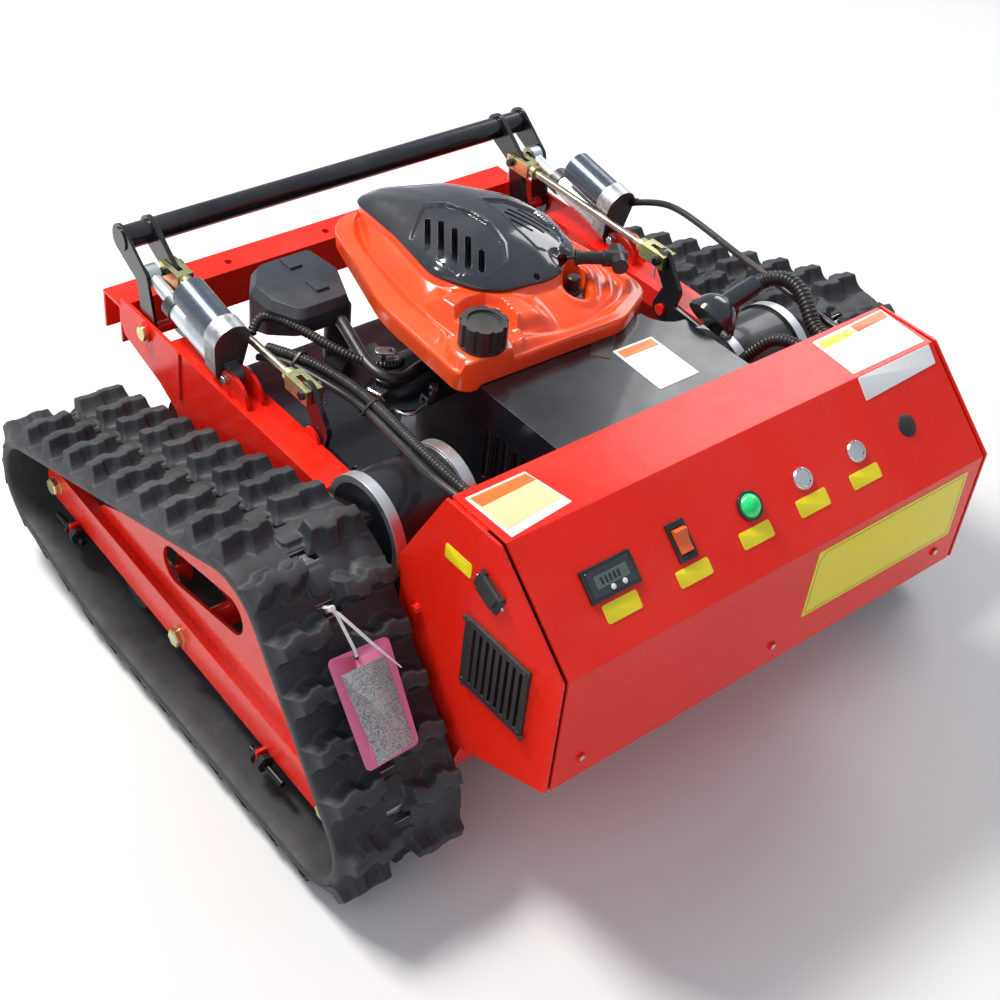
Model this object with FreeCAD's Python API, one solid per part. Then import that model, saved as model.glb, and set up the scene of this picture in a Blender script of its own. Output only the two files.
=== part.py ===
import FreeCAD, Part
import math
import os

V = FreeCAD.Vector
X_AXIS = V(1, 0, 0)
Y_AXIS = V(0, 1, 0)
Z_AXIS = V(0, 0, 1)

# Remote control slope mower on two rubber tracks.
# Origin on the ground under the middle of the machine, +Y is forward, +X is the machine's right, millimetres.

# Overall
half_length = 409.0
side_face = 300.0
side_sheet = 3.0
sheet = 2.5
fit = 0.05
gap = 0.3
run_gap = 2.0
over = 5.0
tiny = 0.001
lean_limit_share = 0.48

# Front crossbeam, an open channel with three bolt holes
beam_depth = 42.0
beam_top = 293.0
beam_h = 50.0
beam_t = 4.0
beam_hole_r = 5.0
beam_hole_pitch = 142.0

# Side members of the chassis
web_t = 4.0
web_face = side_face - side_sheet
web_in = web_face - web_t
member_top = 305.0
flange_w = 40.0
lip_h = 26.0
nose_y = half_length - beam_depth
nose_back = 5.0
nose_low_z = 257.0
heel_y = 284.0
heel_z = 236.0
step_y = 247.0
step_z = 217.0
keel_front_y = 225.0
keel_z = 74.0
keel_rear_y = -262.0
notch_front_y = -40.0
notch_rear_y = -172.0
notch_z = 232.0
tail_y = -300.0
tail_top = 300.0
tail_low_y = -290.0
tail_low_z = 165.0
window_front_y = 120.0
window_rear_y = -60.0
window_low_z = 105.0
window_top_z = 205.0
window_r = 20.0
rib_y = 239.0
rib_w = 6.0
rib_d = 2.6
flange_front_y = 262.0

# Rear crossmember, a square tube below the control box
tube_h = 40.0
tube_t = 3.0
tube_top = 144.0
tube_front_y = -233.0

# Control box, seen from its end
box_top = 430.0
box_front_y = -231.0
box_back_y = -307.0
screw_h = 2.5
screw_r = 5.0
panel_y = -(half_length - screw_h)
panel_top = 342.0
panel_low = 198.0
floor_y = -283.0
floor_z = 148.0
gusset_y = -172.0
gusset_z = 320.0
gusset_low_y = -205.0
gusset_low_z = 231.0
gusset_foot_z = 152.0
panel_screw_x = 259.0
panel_screw_z = 223.0

# Panel fittings, places along the slope below its upper edge
meter_x = -208.7
meter_w = 60.0
meter_h = 32.0
meter_body_d = 20.0
meter_rim = 3.0
meter_glass_share = 0.62
fitting_line = 67.0
rocker_x = -119.2
rocker_w = 22.6
rocker_h = 38.5
rocker_rim = 2.5
rocker_hole_w = 14.6
rocker_hole_h = 26.0
rocker_gap = 0.3
rocker_body_d = 18.0
rocker_tilt = 9.0
rocker_face_r = 30.0
lamp_x = -27.5
lamp_r = 15.0
lamp_hole_r = 11.0
lamp_rim = 3.0
lamp_lens_r = 12.4
lamp_dome = 9.0
start_x = 48.7
power_x = 128.4
button_ring_r = 12.0
button_ring_h = 2.6
button_hole_r = 9.5
button_r = 8.4
button_len = 14.0
button_stand = 2.0
button_body_d = 20.0
button_stop_r = 7.0
plug_x = 208.5
plug_r = 12.5
plug_h = 3.0
plug_stem_r = 10.0
plug_stem_d = 5.0

# Charging inlet and its flap, and the fan grille, on the left plate of the box
inlet_y = -302.0
inlet_z = 372.0
inlet_tilt = 23.5
inlet_w = 37.0
inlet_h = 26.0
inlet_rim = 2.0
inlet_bore_r = 8.0
inlet_depth = 18.0
flap_w = 24.0
flap_h = 20.0
flap_t = 3.0
flap_pin_r = 1.0
flap_barrel_r = 2.2
flap_ear = 4.0
grille_y = -323.0
grille_z = 283.0
grille_w = 90.0
grille_h = 84.0
grille_t = 4.0
grille_border = 7.0
grille_slats = 8
grille_slat_share = 0.5
grille_screw_in = 4.0

# Drive motor with end rings, and the final drive inside the track
motor_y = -107.0
motor_z = 300.0
motor_r = 55.0
motor_ring_r = 58.0
motor_ring_w = 13.0
motor_inner_x = 190.0
motor_recess = 3.0
motor_face_r = 44.0
motor_boot_r = 9.0
motor_boot_len = 14.0
motor_boot_z = 332.0
motor_boot_lift = 1.4
drive_case_t = 22.0
drive_case_r = 50.0
drive_pinion_r = 11.0
shaft_r = 14.0

# Rubber track
belt_in = 305.0
belt_w = 150.0
belt_t = 12.0
lug_h = 20.0
pitch = 54.0
sprocket_teeth = 8
sprocket_y = -106.0
sprocket_z = 252.0
idler_r = 62.0
rear_idler_y = -236.0
front_idler_y = 313.0
front_idler_z = 119.0
roller_r = 24.0
roller_w = 44.0
roller_first_y = 170.0
roller_count = 2
roller_pitch = 196.0
belt_half_t = belt_t / 2
pitch_r = sprocket_teeth * pitch / (2 * math.pi)
ground_to_pitch = lug_h + belt_half_t
belt_mid = belt_in + belt_w / 2
belt_out = belt_in + belt_w
drive_hole_w = 26.0
drive_hole_len = 17.0
lug_foot = 1.5
lug_len = 33.0
lug_top_len = 20.0
lug_w = 64.0
lug_top_w = 54.0
lug_waist_share = 0.55
lug_edge = 3.0
bridge_h = 7.0
bridge_len = 11.0

# Wheels inside the track
wheel_w = 46.0
wheel_rim_t = 6.0
wheel_web_t = 8.0
wheel_hub_r = 20.0
wheel_hub_w = 52.0
wheel_hole_r = 9.0
wheel_holes = 5
tooth_w = 20.0
tooth_len_share = 0.62
tooth_out = 1.5
tooth_play = 0.6
axle_r = 10.0

# Track frame
plate_t = 4.0
outer_plate_x = 406.0
beam_x = 420.0
beam_half = 22.0
inner_plate_x = 336.0
inner_plate_t = 5.0
frame_nose_r = 20.0
crown_r = 30.0
roller_arm_r = 14.0
roller_axle_r = 8.0
cross_y = 43.0
cross_z = 97.0
cross_r = 14.0
bolt_r = 9.0
bolt_h = 7.0
slot_len = 110.0
slot_w = 46.0
slot_y = 10.0
slot_z = 186.0
slot_slope = 19.0
adjuster_front_y = 262.0
adjuster_rear_y = -128.0
adjuster_t = 4.0
adjuster_w = 26.0
adjuster_r = 6.0
adjuster_head_r = 10.0
adjuster_head_h = 9.0
adjuster_len = 40.0

# Lift linkage
pivot_y = 311.0
pivot_z = 290.0
arm_pin_y = 324.0
arm_pin_z = 353.0
bar_y = 368.0
bar_z = 380.0
bar_r = 14.0
bar_len = 588.0
arm_t = 6.0
arm_x = 251.0
outer_arm_x = 288.6
arm_root_r = 15.0
arm_head_r = 13.0
arm_top_r = 18.0
lever_len = 66.0
lever_r = 11.0
pin_r = 5.0
pivot_pin_r = 7.0
crank_shift = 275.0
crank_back = 22.0
crank_mid_r = 13.0
ear_slot = 24.0
ear_play = 0.8
ear_t = 5.0
ear_gap = 3.0
ear_r = 13.0
tie_x = arm_x + arm_t / 2
tie_r = 4.5
tie_pin_out = 12.0
fork_w = 20.0
fork_h = 18.0
fork_slot = 7.2
fork_reach = 26.0
nut_r = 8.5
nut_h = 8.0
pivot_lug_r = 14.0

# Linear actuator, measured along its own axis from the rear pin
act_x = 280.0
act_pin_y = 150.0
act_pin_z = 322.0
act_tube_r = 14.0
act_tube_start = 28.0
act_tube_end = 127.0
act_collar_len = 14.0
act_collar_r = 16.0
act_rod_r = 8.0
act_rod_bore = 8.3
act_rod_in = 70.0
act_case_start = 12.0
act_case_end = 34.0
act_case_r = 22.0
act_motor_r = 20.0
act_motor_end = 100.0
act_motor_up = 38.0
act_lug_t = 14.0
act_lug_r = 10.0
act_bore_end = 40.0
eye_r = 13.0
eye_w = 14.0
eye_slack = 2.2
bracket_t = 4.0
bracket_head_r = 9.0
bracket_foot = 60.0

# Cutting deck, blade and engine
deck_mid_y = 60.0
deck_half_w = 286.0
deck_half_l = 273.0
deck_r = 60.0
deck_top = 175.0
deck_low = 60.0
deck_t = 3.0
deck_front_cut = 34.0
spindle_hole_r = 36.0
blade_half = 262.0
blade_w = 56.0
blade_t = 5.0
blade_z = 80.0
blade_hub_r = 24.0
blade_hub_h = 22.0
spindle_r = 12.5
fin_share = 0.3
block_x = 0.0
block_y = 66.0
block_r = 74.0
block_foot_r = 92.0
block_foot_h = 12.0
block_top = 358.0
fan_r = 112.0
fan_h = 44.0
cyl_w = 120.0
cyl_len = 70.0
cyl_low = 206.0
cyl_h = 96.0
fin_count = 7
fin_t = 4.0

# Engine shroud: a tray with a hanging skirt, and a dome that rises to the cover; the plans are shares of half sizes
shroud_low = 390.0
shroud_crease = 412.0
shroud_land = 416.0
shroud_top = 438.0
shroud_half_w = 139.0
shroud_half_l = 162.5
shroud_mid_x = -21.0
shroud_mid_y = 77.5
shroud_plan_shares = [
    (-0.568, 1, 0.26), (-0.942, -0.046, 1.4), (-1, -0.963, 0.13), (0.568, -1, 0.36), (0.986, -0.82, 0.22),
    (1, -0.415, 0.43), (0.87, 0.385, 0.58), (0.44, 0.975, 0.43)]
shroud_low_share = 0.985
shroud_land_share = 0.965
dome_half_w = 94.0
dome_half_l = 124.0
dome_mid_x = -3.0
dome_mid_y = 108.0
dome_foot_shares = [
    (-0.7, 1.02, 0.18), (-1.05, 0.48, 0.8), (-1.25, -0.45, 0.6), (-1.2, -1.38, 0.4), (0.3, -1.44, 0.6),
    (1.12, -1.25, 0.4), (1.22, -0.7, 0.5), (1.08, 0.22, 0.6), (0.5, 0.95, 0.6), (-0.1, 1.02, 0.5)]
dome_brow_shares = [
    (-0.74, 0.98, 0.18), (-0.9, 0.42, 0.8), (-1.12, -0.42, 0.5), (-1.0, -1.08, 0.5), (0.26, -1.2, 0.6),
    (0.98, -1.02, 0.45), (1.1, -0.5, 0.5), (0.98, 0.26, 0.6), (0.42, 0.88, 0.6), (-0.25, 0.98, 0.4)]
dome_rim_shares = [
    (-0.8, 0.95, 0.17), (-0.84, 0.33, 1.2), (-1, -0.4, 0.5), (-0.67, -0.9, 0.62), (0.18, -1, 0.62),
    (0.8, -0.76, 0.52), (1, -0.22, 0.62), (0.9, 0.26, 0.62), (0.35, 0.78, 0.62), (-0.4, 1, 0.3)]
dome_brow_drop = 9.0
dome_rim_share = 0.97
tank_x = -120.0
tank_y = -58.0
tank_r = 36.0
tank_top = 432.0
cap_r = 25.0
cap_h = 28.0
cap_top = 458.0
cap_well_r = 26.0
cap_well_z = 429.7
cap_notches = 10
cap_notch_r = 3.5
cap_recess_r = 44.0
cap_recess_z = 424.0
vent_gap = 0.3
vent_rim = 440.0
vent_brow = 452.0
vent_top = 467.0
vent_brow_share = 0.82
vent_top_share = 0.52
vent_slots = 5
vent_slot_w = 7.0
vent_slot_pitch = 14.2
vent_slot_skew = 12.3
vent_slot_lengths_share = (0.81, 1, 0.9, 0.8, 0.5)
vent_slot_len = 60.0
vent_slot_depth = 16.0
vent_slot_x = -54.7
vent_slot_y = 71.7
vent_slot_turn = -37.0
vent_slats = 3
vent_slat_w = 6.0
vent_slat_pitch = 12.0
vent_slat_len = 62.0
vent_slat_x = 37.0
vent_slat_y = 69.0
vent_slat_turn = -70.0
grip_start_x = 50.0
grip_start_y = -4.0
grip_z = 448.0
grip_turn = -34.0
grip_neck_r = 7.0
grip_neck_len = 30.0
grip_len = 26.0
grip_r = 9.0
grip_root_r = 9.0
grip_bar_w = 34.0
grip_bar_r = 9.0
grip_boss_r = 12.0
grip_recess_r = 16.0

# Air filter, carburettor, exhaust
filter_low = 312.0
filter_low_near = 350.0
filter_top = 380.0
filter_seam = -150.0
filter_rear_y = 142.0
filter_l = 108.0
filter_cover_w = 72.0
filter_case_w = 34.0
filter_cover_shares = [(0, 0, 0), (0, 1, 0), (0.64, 1, 0.25), (1, 0.667, 0.2), (1, 0.333, 0.2), (0.75, 0, 0.2)]
filter_case_shares = [(0, 1, 0), (0, 0, 0), (0.34, 0, 0.17), (1, 0.5, 0.17), (0.83, 1, 0.2)]
filter_crown = 10.0
filter_crown_share = 0.9
clip_w = 16.0
clip_l = 22.0
clip_t = 3.0
clip_first_y = 166.0
clip_second_y = 218.0
intake_r = 15.0
carb_x = -104.0
carb_y = 116.0
carb_z = 282.0
carb_w = 34.0
carb_l = 46.0
carb_h = 52.0
bowl_r = 17.0
bowl_h = 20.0
muffler_half = 78.0
muffler_front = -98.0
muffler_back = -168.0
muffler_low = 248.0
muffler_high = 348.0
muffler_r = 22.0
exhaust_r = 15.0
guard_half = 135.0
guard_front_wall = -66.0
guard_back = -228.0
guard_top = 394.0
guard_low = 262.0
guard_t = 2.0
guard_louvres = 9
guard_louvre_w = 7.0
guard_louvre_pitch = 14.0
guard_louvre_low = 290.0
guard_louvre_high = 352.0
guard_notch_r = 34.0

# Work lamp and its arm
head_x = 164.0
head_y = -112.0
head_z = 392.0
head_r = 26.0
head_lean = 35.0
head_rim = 4.0
arm_tube_r = 11.0
head_arm_up = 20.0
post_w = 12.0

# Cables and ribbed conduits
conduit_r = 9.0
conduit_rib = 6.0
conduit_wall = 2.4
loom_r = 6.0
loom_rib = 8.0
loom_wall = 1.6
cable_r = 4.0
rib_depth = 1.6
gland_wall = 3.0
bend_share = 0.45
big_conduit_path = [
    (234.0, -218.0, 402.0), (234.0, -200.0, 402.0), (242.0, -178.0, 418.0), (250.0, -156.0, 427.0),
    (250.0, -134.0, 428.0), (238.4, -115.8, 420.8), (226.0, -115.0, 417.0)]
low_conduit_path = [
    (200.0, -218.0, 400.0), (200.0, -200.0, 400.0), (190.0, -180.0, 396.0), (181.0, -166.0, 376.0),
    (180.0, -154.0, 352.0), (182.6, -136.0, 332.0), (182.6, -116.3, 332.0)]
loom_path = [
    (-236.0, 150.0, 334.0), (-224.0, 106.0, 336.0), (-214.0, 50.0, 344.0), (-216.0, -4.0, 360.0),
    (-224.0, -60.0, 372.0), (-233.0, -120.0, 378.0), (-238.0, -172.0, 380.0), (-238.0, -218.0, 380.0)]
left_cable_path = [
    (-252.0, 150.0, 334.0), (-238.0, 126.0, 352.0), (-228.0, 84.0, 356.0), (-226.0, 30.0, 366.0),
    (-232.0, -26.0, 378.0), (-240.0, -84.0, 385.0), (-249.0, -136.0, 388.0), (-254.0, -180.0, 388.0),
    (-254.0, -218.0, 388.0)]
right_cable_path = [
    (294.0, 139.0, 368.0), (299.0, 118.0, 384.0), (300.0, 82.0, 392.0), (294.0, 30.0, 394.0),
    (284.0, -24.0, 396.0), (274.0, -80.0, 400.0), (266.0, -132.0, 402.0), (260.0, -180.0, 402.0),
    (260.0, -218.0, 402.0)]


def box(x0, x1, y0, y1, z0, z1):
    return Part.makeBox(x1 - x0, y1 - y0, z1 - z0, V(x0, y0, z0))


def rod_x(x0, x1, y, z, r):
    return Part.makeCylinder(r, x1 - x0, V(x0, y, z), X_AXIS)


def rod_y(y0, y1, x, z, r):
    return Part.makeCylinder(r, y1 - y0, V(x, y0, z), Y_AXIS)


def rod_z(z0, z1, x, y, r):
    return Part.makeCylinder(r, z1 - z0, V(x, y, z0), Z_AXIS)


def prism_x(points, x0, x1):
    ring = [V(x0, y, z) for y, z in points]
    face = Part.Face(Part.makePolygon(ring + [ring[0]]))
    return face.extrude(V(x1 - x0, 0, 0))


def rounded_wire(corners, place):
    # Closed outline with a tangent arc at each corner that has a radius, mapped to space by place(u, v).
    edges = []
    starts = []
    ends = []
    mids = []
    count = len(corners)
    for i in range(count):
        u, v, r = corners[i]
        pu, pv, pr = corners[i - 1]
        nu, nv, nr = corners[(i + 1) % count]
        a = (pu - u, pv - v)
        b = (nu - u, nv - v)
        la = math.hypot(a[0], a[1])
        lb = math.hypot(b[0], b[1])
        a = (a[0] / la, a[1] / la)
        b = (b[0] / lb, b[1] / lb)
        half = math.acos(max(-1, min(1, a[0] * b[0] + a[1] * b[1]))) / 2
        cut = min(r / math.tan(half), la * lean_limit_share, lb * lean_limit_share)
        rr = cut * math.tan(half)
        starts.append((u + a[0] * cut, v + a[1] * cut))
        ends.append((u + b[0] * cut, v + b[1] * cut))
        bis = (a[0] + b[0], a[1] + b[1])
        lbis = math.hypot(bis[0], bis[1])
        reach = rr / math.sin(half) - rr
        mids.append((u + bis[0] / lbis * reach, v + bis[1] / lbis * reach))
    for i in range(count):
        if corners[i][2] > 0:
            arc = Part.Arc(place(*starts[i]), place(*mids[i]), place(*ends[i]))
            edges.append(arc.toShape())
        nxt = (i + 1) % count
        p = place(*ends[i])
        q = place(*starts[nxt])
        if p.distanceToPoint(q) > tiny:
            edges.append(Part.LineSegment(p, q).toShape())
    return Part.Wire(edges)


def link_x(y1, z1, r1, y2, z2, r2, x0, x1):
    # Flat link plate: two round ends joined by their common tangents.
    dy = y2 - y1
    dz = z2 - z1
    span = math.hypot(dy, dz)
    dy = dy / span
    dz = dz / span
    sin_n = (r1 - r2) / span
    cos_n = math.sqrt(1 - sin_n * sin_n)
    na = (dz * cos_n + dy * sin_n, -dy * cos_n + dz * sin_n)
    nb = (-dz * cos_n + dy * sin_n, dy * cos_n + dz * sin_n)
    a1 = V(x0, y1 + na[0] * r1, z1 + na[1] * r1)
    a2 = V(x0, y2 + na[0] * r2, z2 + na[1] * r2)
    b1 = V(x0, y1 + nb[0] * r1, z1 + nb[1] * r1)
    b2 = V(x0, y2 + nb[0] * r2, z2 + nb[1] * r2)
    tip = V(x0, y2 + dy * r2, z2 + dz * r2)
    tail = V(x0, y1 - dy * r1, z1 - dz * r1)
    edges = [
        Part.LineSegment(a1, a2).toShape(),
        Part.Arc(a2, tip, b2).toShape(),
        Part.LineSegment(b2, b1).toShape(),
        Part.Arc(b1, tail, a1).toShape()]
    return Part.Face(Part.Wire(edges)).extrude(V(x1 - x0, 0, 0))


def joined(shapes):
    whole = shapes[0].fuse(shapes[1:]) if len(shapes) > 1 else shapes[0]
    return whole.removeSplitter()


def mirrored(shape):
    return shape.mirror(V(0, 0, 0), X_AXIS)


def placed(shape, x, y, z, axis, angle):
    copy = shape.copy()
    copy.Placement = FreeCAD.Placement(V(x, y, z), FreeCAD.Rotation(axis, angle))
    return copy


def loft(wires, ruled):
    return Part.makeLoft(wires, True, ruled)


def save(node, shape):
    shape.exportStep("parts/" + node + ".step")


def save_both(node, shape):
    save(node + "_right", shape)
    save(node + "_left", mirrored(shape))


def plan_wire(shares, mx, my, sx, sy, sr, z, grow):
    corners = [(u * sx * grow, v * sy * grow, r * sr * grow) for u, v, r in shares]
    return rounded_wire(corners, lambda u, v: V(mx + u, my + v, z))


# Side member: folded web with the track openings, top flange and inner lip, arm slot and weld rib
def side_member():
    outline = [
        (nose_y, member_top), (nose_y, beam_top - beam_h / 2), (nose_y - nose_back, nose_low_z),
        (heel_y, heel_z), (step_y, step_z), (keel_front_y, keel_z), (keel_rear_y, keel_z),
        (tail_low_y, tail_low_z), (tail_y, tail_low_z),
        (tail_y, tail_top), (notch_rear_y, tail_top), (notch_rear_y, notch_z), (notch_front_y, notch_z),
        (notch_front_y, member_top)]
    web = prism_x(outline, web_in, web_face)
    window = [
        (window_front_y, window_low_z, window_r), (window_front_y, window_top_z, window_r),
        (window_rear_y, window_top_z, window_r), (window_rear_y, window_low_z, window_r)]
    hole = Part.Face(rounded_wire(window, lambda u, v: V(web_in - over, u, v)))
    web = web.cut(hole.extrude(V(web_t + over * 2, 0, 0)))
    shaft = rod_x(web_in - over, web_face + over, sprocket_y, sprocket_z, shaft_r + gap)
    web = web.cut(shaft)
    inner = web_face - flange_w
    flange = box(inner, web_face, notch_front_y, flange_front_y, member_top - web_t, member_top)
    lip = box(inner, inner + web_t, notch_front_y, flange_front_y, member_top - lip_h, member_top)
    rib = box(web_face, web_face + rib_d, rib_y - rib_w / 2, rib_y + rib_w / 2, step_z + lip_h, member_top)
    pin = rod_x(arm_x - web_t, web_face + bolt_h, pivot_y, pivot_z, pivot_pin_r)
    head = rod_x(web_face, web_face + bolt_h / 2, pivot_y, pivot_z, bolt_r + over / 2)
    lug_y = pivot_y - crank_shift
    lug_x0 = arm_x + arm_t + gap
    lug = link_x(lug_y, pivot_z, pivot_lug_r, lug_y, member_top - web_t / 2, pivot_lug_r, lug_x0, inner + web_t)
    crank_pin = rod_x(arm_x - web_t, lug_x0 + over / 2, lug_y, pivot_z, pivot_pin_r)
    ears = []
    for x0 in (act_x - act_lug_t / 2 - gap - bracket_t, act_x + act_lug_t / 2 + gap):
        ear = link_x(act_pin_y, act_pin_z, bracket_head_r, act_pin_y - bracket_foot / 4,
                     member_top + over / 2, bracket_foot / 2 - over, x0, x0 + bracket_t)
        ears.append(ear.common(box(x0 - over, x0 + bracket_t + over, keel_rear_y, nose_y,
                                   member_top - over / 2, box_top)))
    ear_pin = rod_x(act_x - act_lug_t / 2 - bracket_t - over / 2, act_x + act_lug_t / 2 + bracket_t + over / 2,
                    act_pin_y, act_pin_z, pin_r)
    solids = [web, flange, lip, rib, pin, head, lug, crank_pin] + ears + [ear_pin]
    return joined(solids)


# Front crossbeam: channel open downwards, three holes in its top
def crossbeam():
    outer = box(-web_face, web_face, half_length - beam_depth, half_length, beam_top - beam_h, beam_top)
    hollow = box(-web_face - over, web_face + over, half_length - beam_depth + beam_t, half_length - beam_t,
                 beam_top - beam_h - over, beam_top - beam_t)
    beam = outer.cut(hollow)
    mid_y = half_length - beam_depth / 2 - beam_t / 2
    holes = []
    for i in (-1, 0, 1):
        holes.append(rod_z(beam_top - beam_t - over, beam_top + over, i * beam_hole_pitch, mid_y, beam_hole_r))
    return beam.cut(holes)


def crossmember():
    outer = box(-web_in, web_in, tube_front_y - tube_h, tube_front_y, tube_top - tube_h, tube_top)
    hollow = box(-web_in - over, web_in + over, tube_front_y - tube_h + tube_t, tube_front_y - tube_t,
                 tube_top - tube_h + tube_t, tube_top - tube_t)
    return outer.cut(hollow)


# Control box: folded cover with the panel holes, and two end plates
panel_dy = panel_y - box_back_y
panel_dz = panel_top - box_top
panel_slope = math.degrees(math.atan2(-panel_dz, -panel_dy))
slope_cos = math.cos(math.radians(panel_slope))
slope_sin = math.sin(math.radians(panel_slope))


def on_panel(shape, x, down):
    y = box_back_y - down * slope_cos
    z = box_top - down * slope_sin
    return placed(shape, x, y, z, X_AXIS, panel_slope)


def local_box(w, h, z0, z1):
    return box(-w / 2, w / 2, -h / 2, h / 2, z0, z1)


def panel_outline():
    return [
        (box_front_y, box_top), (box_back_y, box_top), (panel_y, panel_top), (panel_y, panel_low),
        (floor_y, floor_z), (box_front_y, floor_z)]


def control_cover():
    end = web_in - gap
    outer = prism_x(panel_outline(), -end, end)
    ring = [V(-end - over, y, z) for y, z in panel_outline()]
    face = Part.Face(Part.makePolygon(ring + [ring[0]]))
    inner = face.makeOffset2D(-sheet, 2)
    cover = outer.cut(inner.extrude(V((end + over) * 2, 0, 0)))
    depth = sheet + over
    tools = [
        on_panel(local_box(meter_w - meter_rim * 2, meter_h - meter_rim * 2, -depth, depth), meter_x, fitting_line),
        on_panel(local_box(rocker_w - rocker_rim * 2, rocker_h - rocker_rim * 2, -depth, depth),
                 rocker_x, fitting_line)]
    for x, r in ((lamp_x, lamp_hole_r), (start_x, button_hole_r), (power_x, button_hole_r), (plug_x, plug_stem_r)):
        tools.append(on_panel(rod_z(-depth, depth, 0, 0, r + fit), x, fitting_line))
    cover = cover.cut(tools)
    heads = []
    for x in (-panel_screw_x, 0, panel_screw_x):
        heads.append(rod_y(panel_y - screw_h, panel_y + sheet, x, panel_screw_z, screw_r))
    for path, r in ((big_conduit_path, conduit_r), (low_conduit_path, conduit_r), (loom_path, loom_r),
                    (left_cable_path, cable_r), (right_cable_path, cable_r)):
        x, y, z = path[-1] if path[0][1] > path[-1][1] else path[0]
        heads.append(rod_y(box_front_y - sheet, y - gap, x, z, r + gland_wall))
    return joined([cover] + heads)


def end_plate():
    outline = [
        (box_front_y, box_top), (box_back_y, box_top), (panel_y, panel_top), (panel_y, panel_low),
        (floor_y, floor_z), (gusset_low_y, gusset_foot_z), (gusset_low_y, gusset_low_z),
        (gusset_y, member_top), (gusset_y, gusset_z)]
    plate = prism_x(outline, web_face, side_face)
    inset = box(web_in - gap, web_face, floor_y, box_front_y - sheet, box_top - sheet * 3, box_top - sheet)
    return joined([plate, inset])


def left_plate():
    plate = mirrored(end_plate())
    x0 = -side_face - over
    x1 = -web_in + over
    bore = rod_x(x0, x1, inlet_y, inlet_z, inlet_bore_r + sheet)
    grille_hole = box(x0, x1, grille_y - grille_w / 2 + grille_border, grille_y + grille_w / 2 - grille_border,
                      grille_z - grille_h / 2 + grille_border, grille_z + grille_h / 2 - grille_border)
    return plate.cut([bore, grille_hole])


def grille():
    x0 = -side_face - grille_t
    y0 = grille_y - grille_w / 2
    z0 = grille_z - grille_h / 2
    frame = box(x0, -side_face, y0, y0 + grille_w, z0, z0 + grille_h)
    frame = frame.cut(box(x0 - over, over, y0 + grille_border, y0 + grille_w - grille_border,
                          z0 + grille_border, z0 + grille_h - grille_border))
    step = (grille_w - grille_border * 2) / grille_slats
    slat = step * grille_slat_share
    parts = [frame]
    for i in range(grille_slats):
        y = y0 + grille_border + step * (i + 1 - grille_slat_share / 2) - slat / 2
        parts.append(box(x0, -side_face, y, y + slat,
                         z0 + grille_border - tiny, z0 + grille_h - grille_border + tiny))
    solid = joined(parts)
    heads = []
    for sy in (-1, 1):
        for sz in (-1, 1):
            y = grille_y + sy * (grille_w / 2 - grille_screw_in)
            z = grille_z + sz * (grille_h / 2 - grille_screw_in)
            heads.append(rod_x(x0 - screw_h / 2, x0 + tiny, y, z, grille_screw_in - sheet / 2))
    return joined([solid] + heads)


def charging_inlet():
    # Rim plate with the round inlet, tilted on the side plate; the flap's hinge ears stand on its upper end.
    rim = local_box(inlet_w, inlet_h, 0, inlet_rim)
    body = rod_z(-inlet_depth, inlet_rim, 0, 0, inlet_bore_r + sheet - fit)
    bore = rod_z(-inlet_depth + sheet, inlet_rim + over, 0, 0, inlet_bore_r)
    hinge_v = flap_h / 2 + flap_barrel_r
    ears = []
    for s in (-1, 1):
        x0 = s * (flap_w / 2 + gap + flap_ear / 2) - flap_ear / 2
        ears.append(box(x0, x0 + flap_ear, hinge_v - flap_barrel_r, hinge_v + flap_barrel_r, 0,
                        inlet_rim + gap + flap_barrel_r * 2))
    pin = Part.makeCylinder(flap_pin_r - fit, flap_w + flap_ear, V(-flap_w / 2 - flap_ear / 2, hinge_v,
                            inlet_rim + gap + flap_barrel_r), X_AXIS)
    solid = joined([rim, body] + ears + [pin]).cut(bore)
    return on_left_plate(solid)


def charging_flap():
    hinge_v = flap_h / 2 + flap_barrel_r
    z0 = inlet_rim + gap
    lid = box(-flap_w / 2, flap_w / 2, -flap_h / 2, hinge_v, z0, z0 + flap_t)
    barrel = Part.makeCylinder(flap_barrel_r, flap_w, V(-flap_w / 2, hinge_v, z0 + flap_barrel_r), X_AXIS)
    bore = Part.makeCylinder(flap_pin_r, flap_w * 2, V(-flap_w, hinge_v, z0 + flap_barrel_r), X_AXIS)
    return on_left_plate(joined([lid, barrel]).cut(bore))


def on_left_plate(shape):
    # Local x runs down the plate towards the panel, local z points out of the machine.
    turn = FreeCAD.Rotation(V(0, -math.cos(math.radians(inlet_tilt)), -math.sin(math.radians(inlet_tilt))),
                            V(0, -math.sin(math.radians(inlet_tilt)), math.cos(math.radians(inlet_tilt))),
                            V(-1, 0, 0), "ZXY")
    copy = shape.copy()
    copy.Placement = FreeCAD.Placement(V(-side_face, inlet_y, inlet_z), turn)
    return copy


def meter():
    rim = local_box(meter_w, meter_h, 0, meter_rim)
    glass_h = meter_h * meter_glass_share
    pocket = local_box(meter_w - meter_rim * 4, glass_h, meter_rim / 2, meter_rim + over)
    body = local_box(meter_w - meter_rim * 2 - fit * 2, meter_h - meter_rim * 2 - fit * 2, -meter_body_d, over / 10)
    return on_panel(joined([rim, body]).cut(pocket), meter_x, fitting_line)


def rocker_bezel():
    rim = local_box(rocker_w, rocker_h, 0, rocker_rim)
    body = local_box(rocker_w - rocker_rim * 2 - fit * 2, rocker_h - rocker_rim * 2 - fit * 2, -rocker_body_d, 0)
    hole = local_box(rocker_hole_w + rocker_gap * 2, rocker_hole_h + rocker_gap * 2, -rocker_body_d + sheet, over)
    return on_panel(joined([rim, body]).cut(hole), rocker_x, fitting_line)


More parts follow.
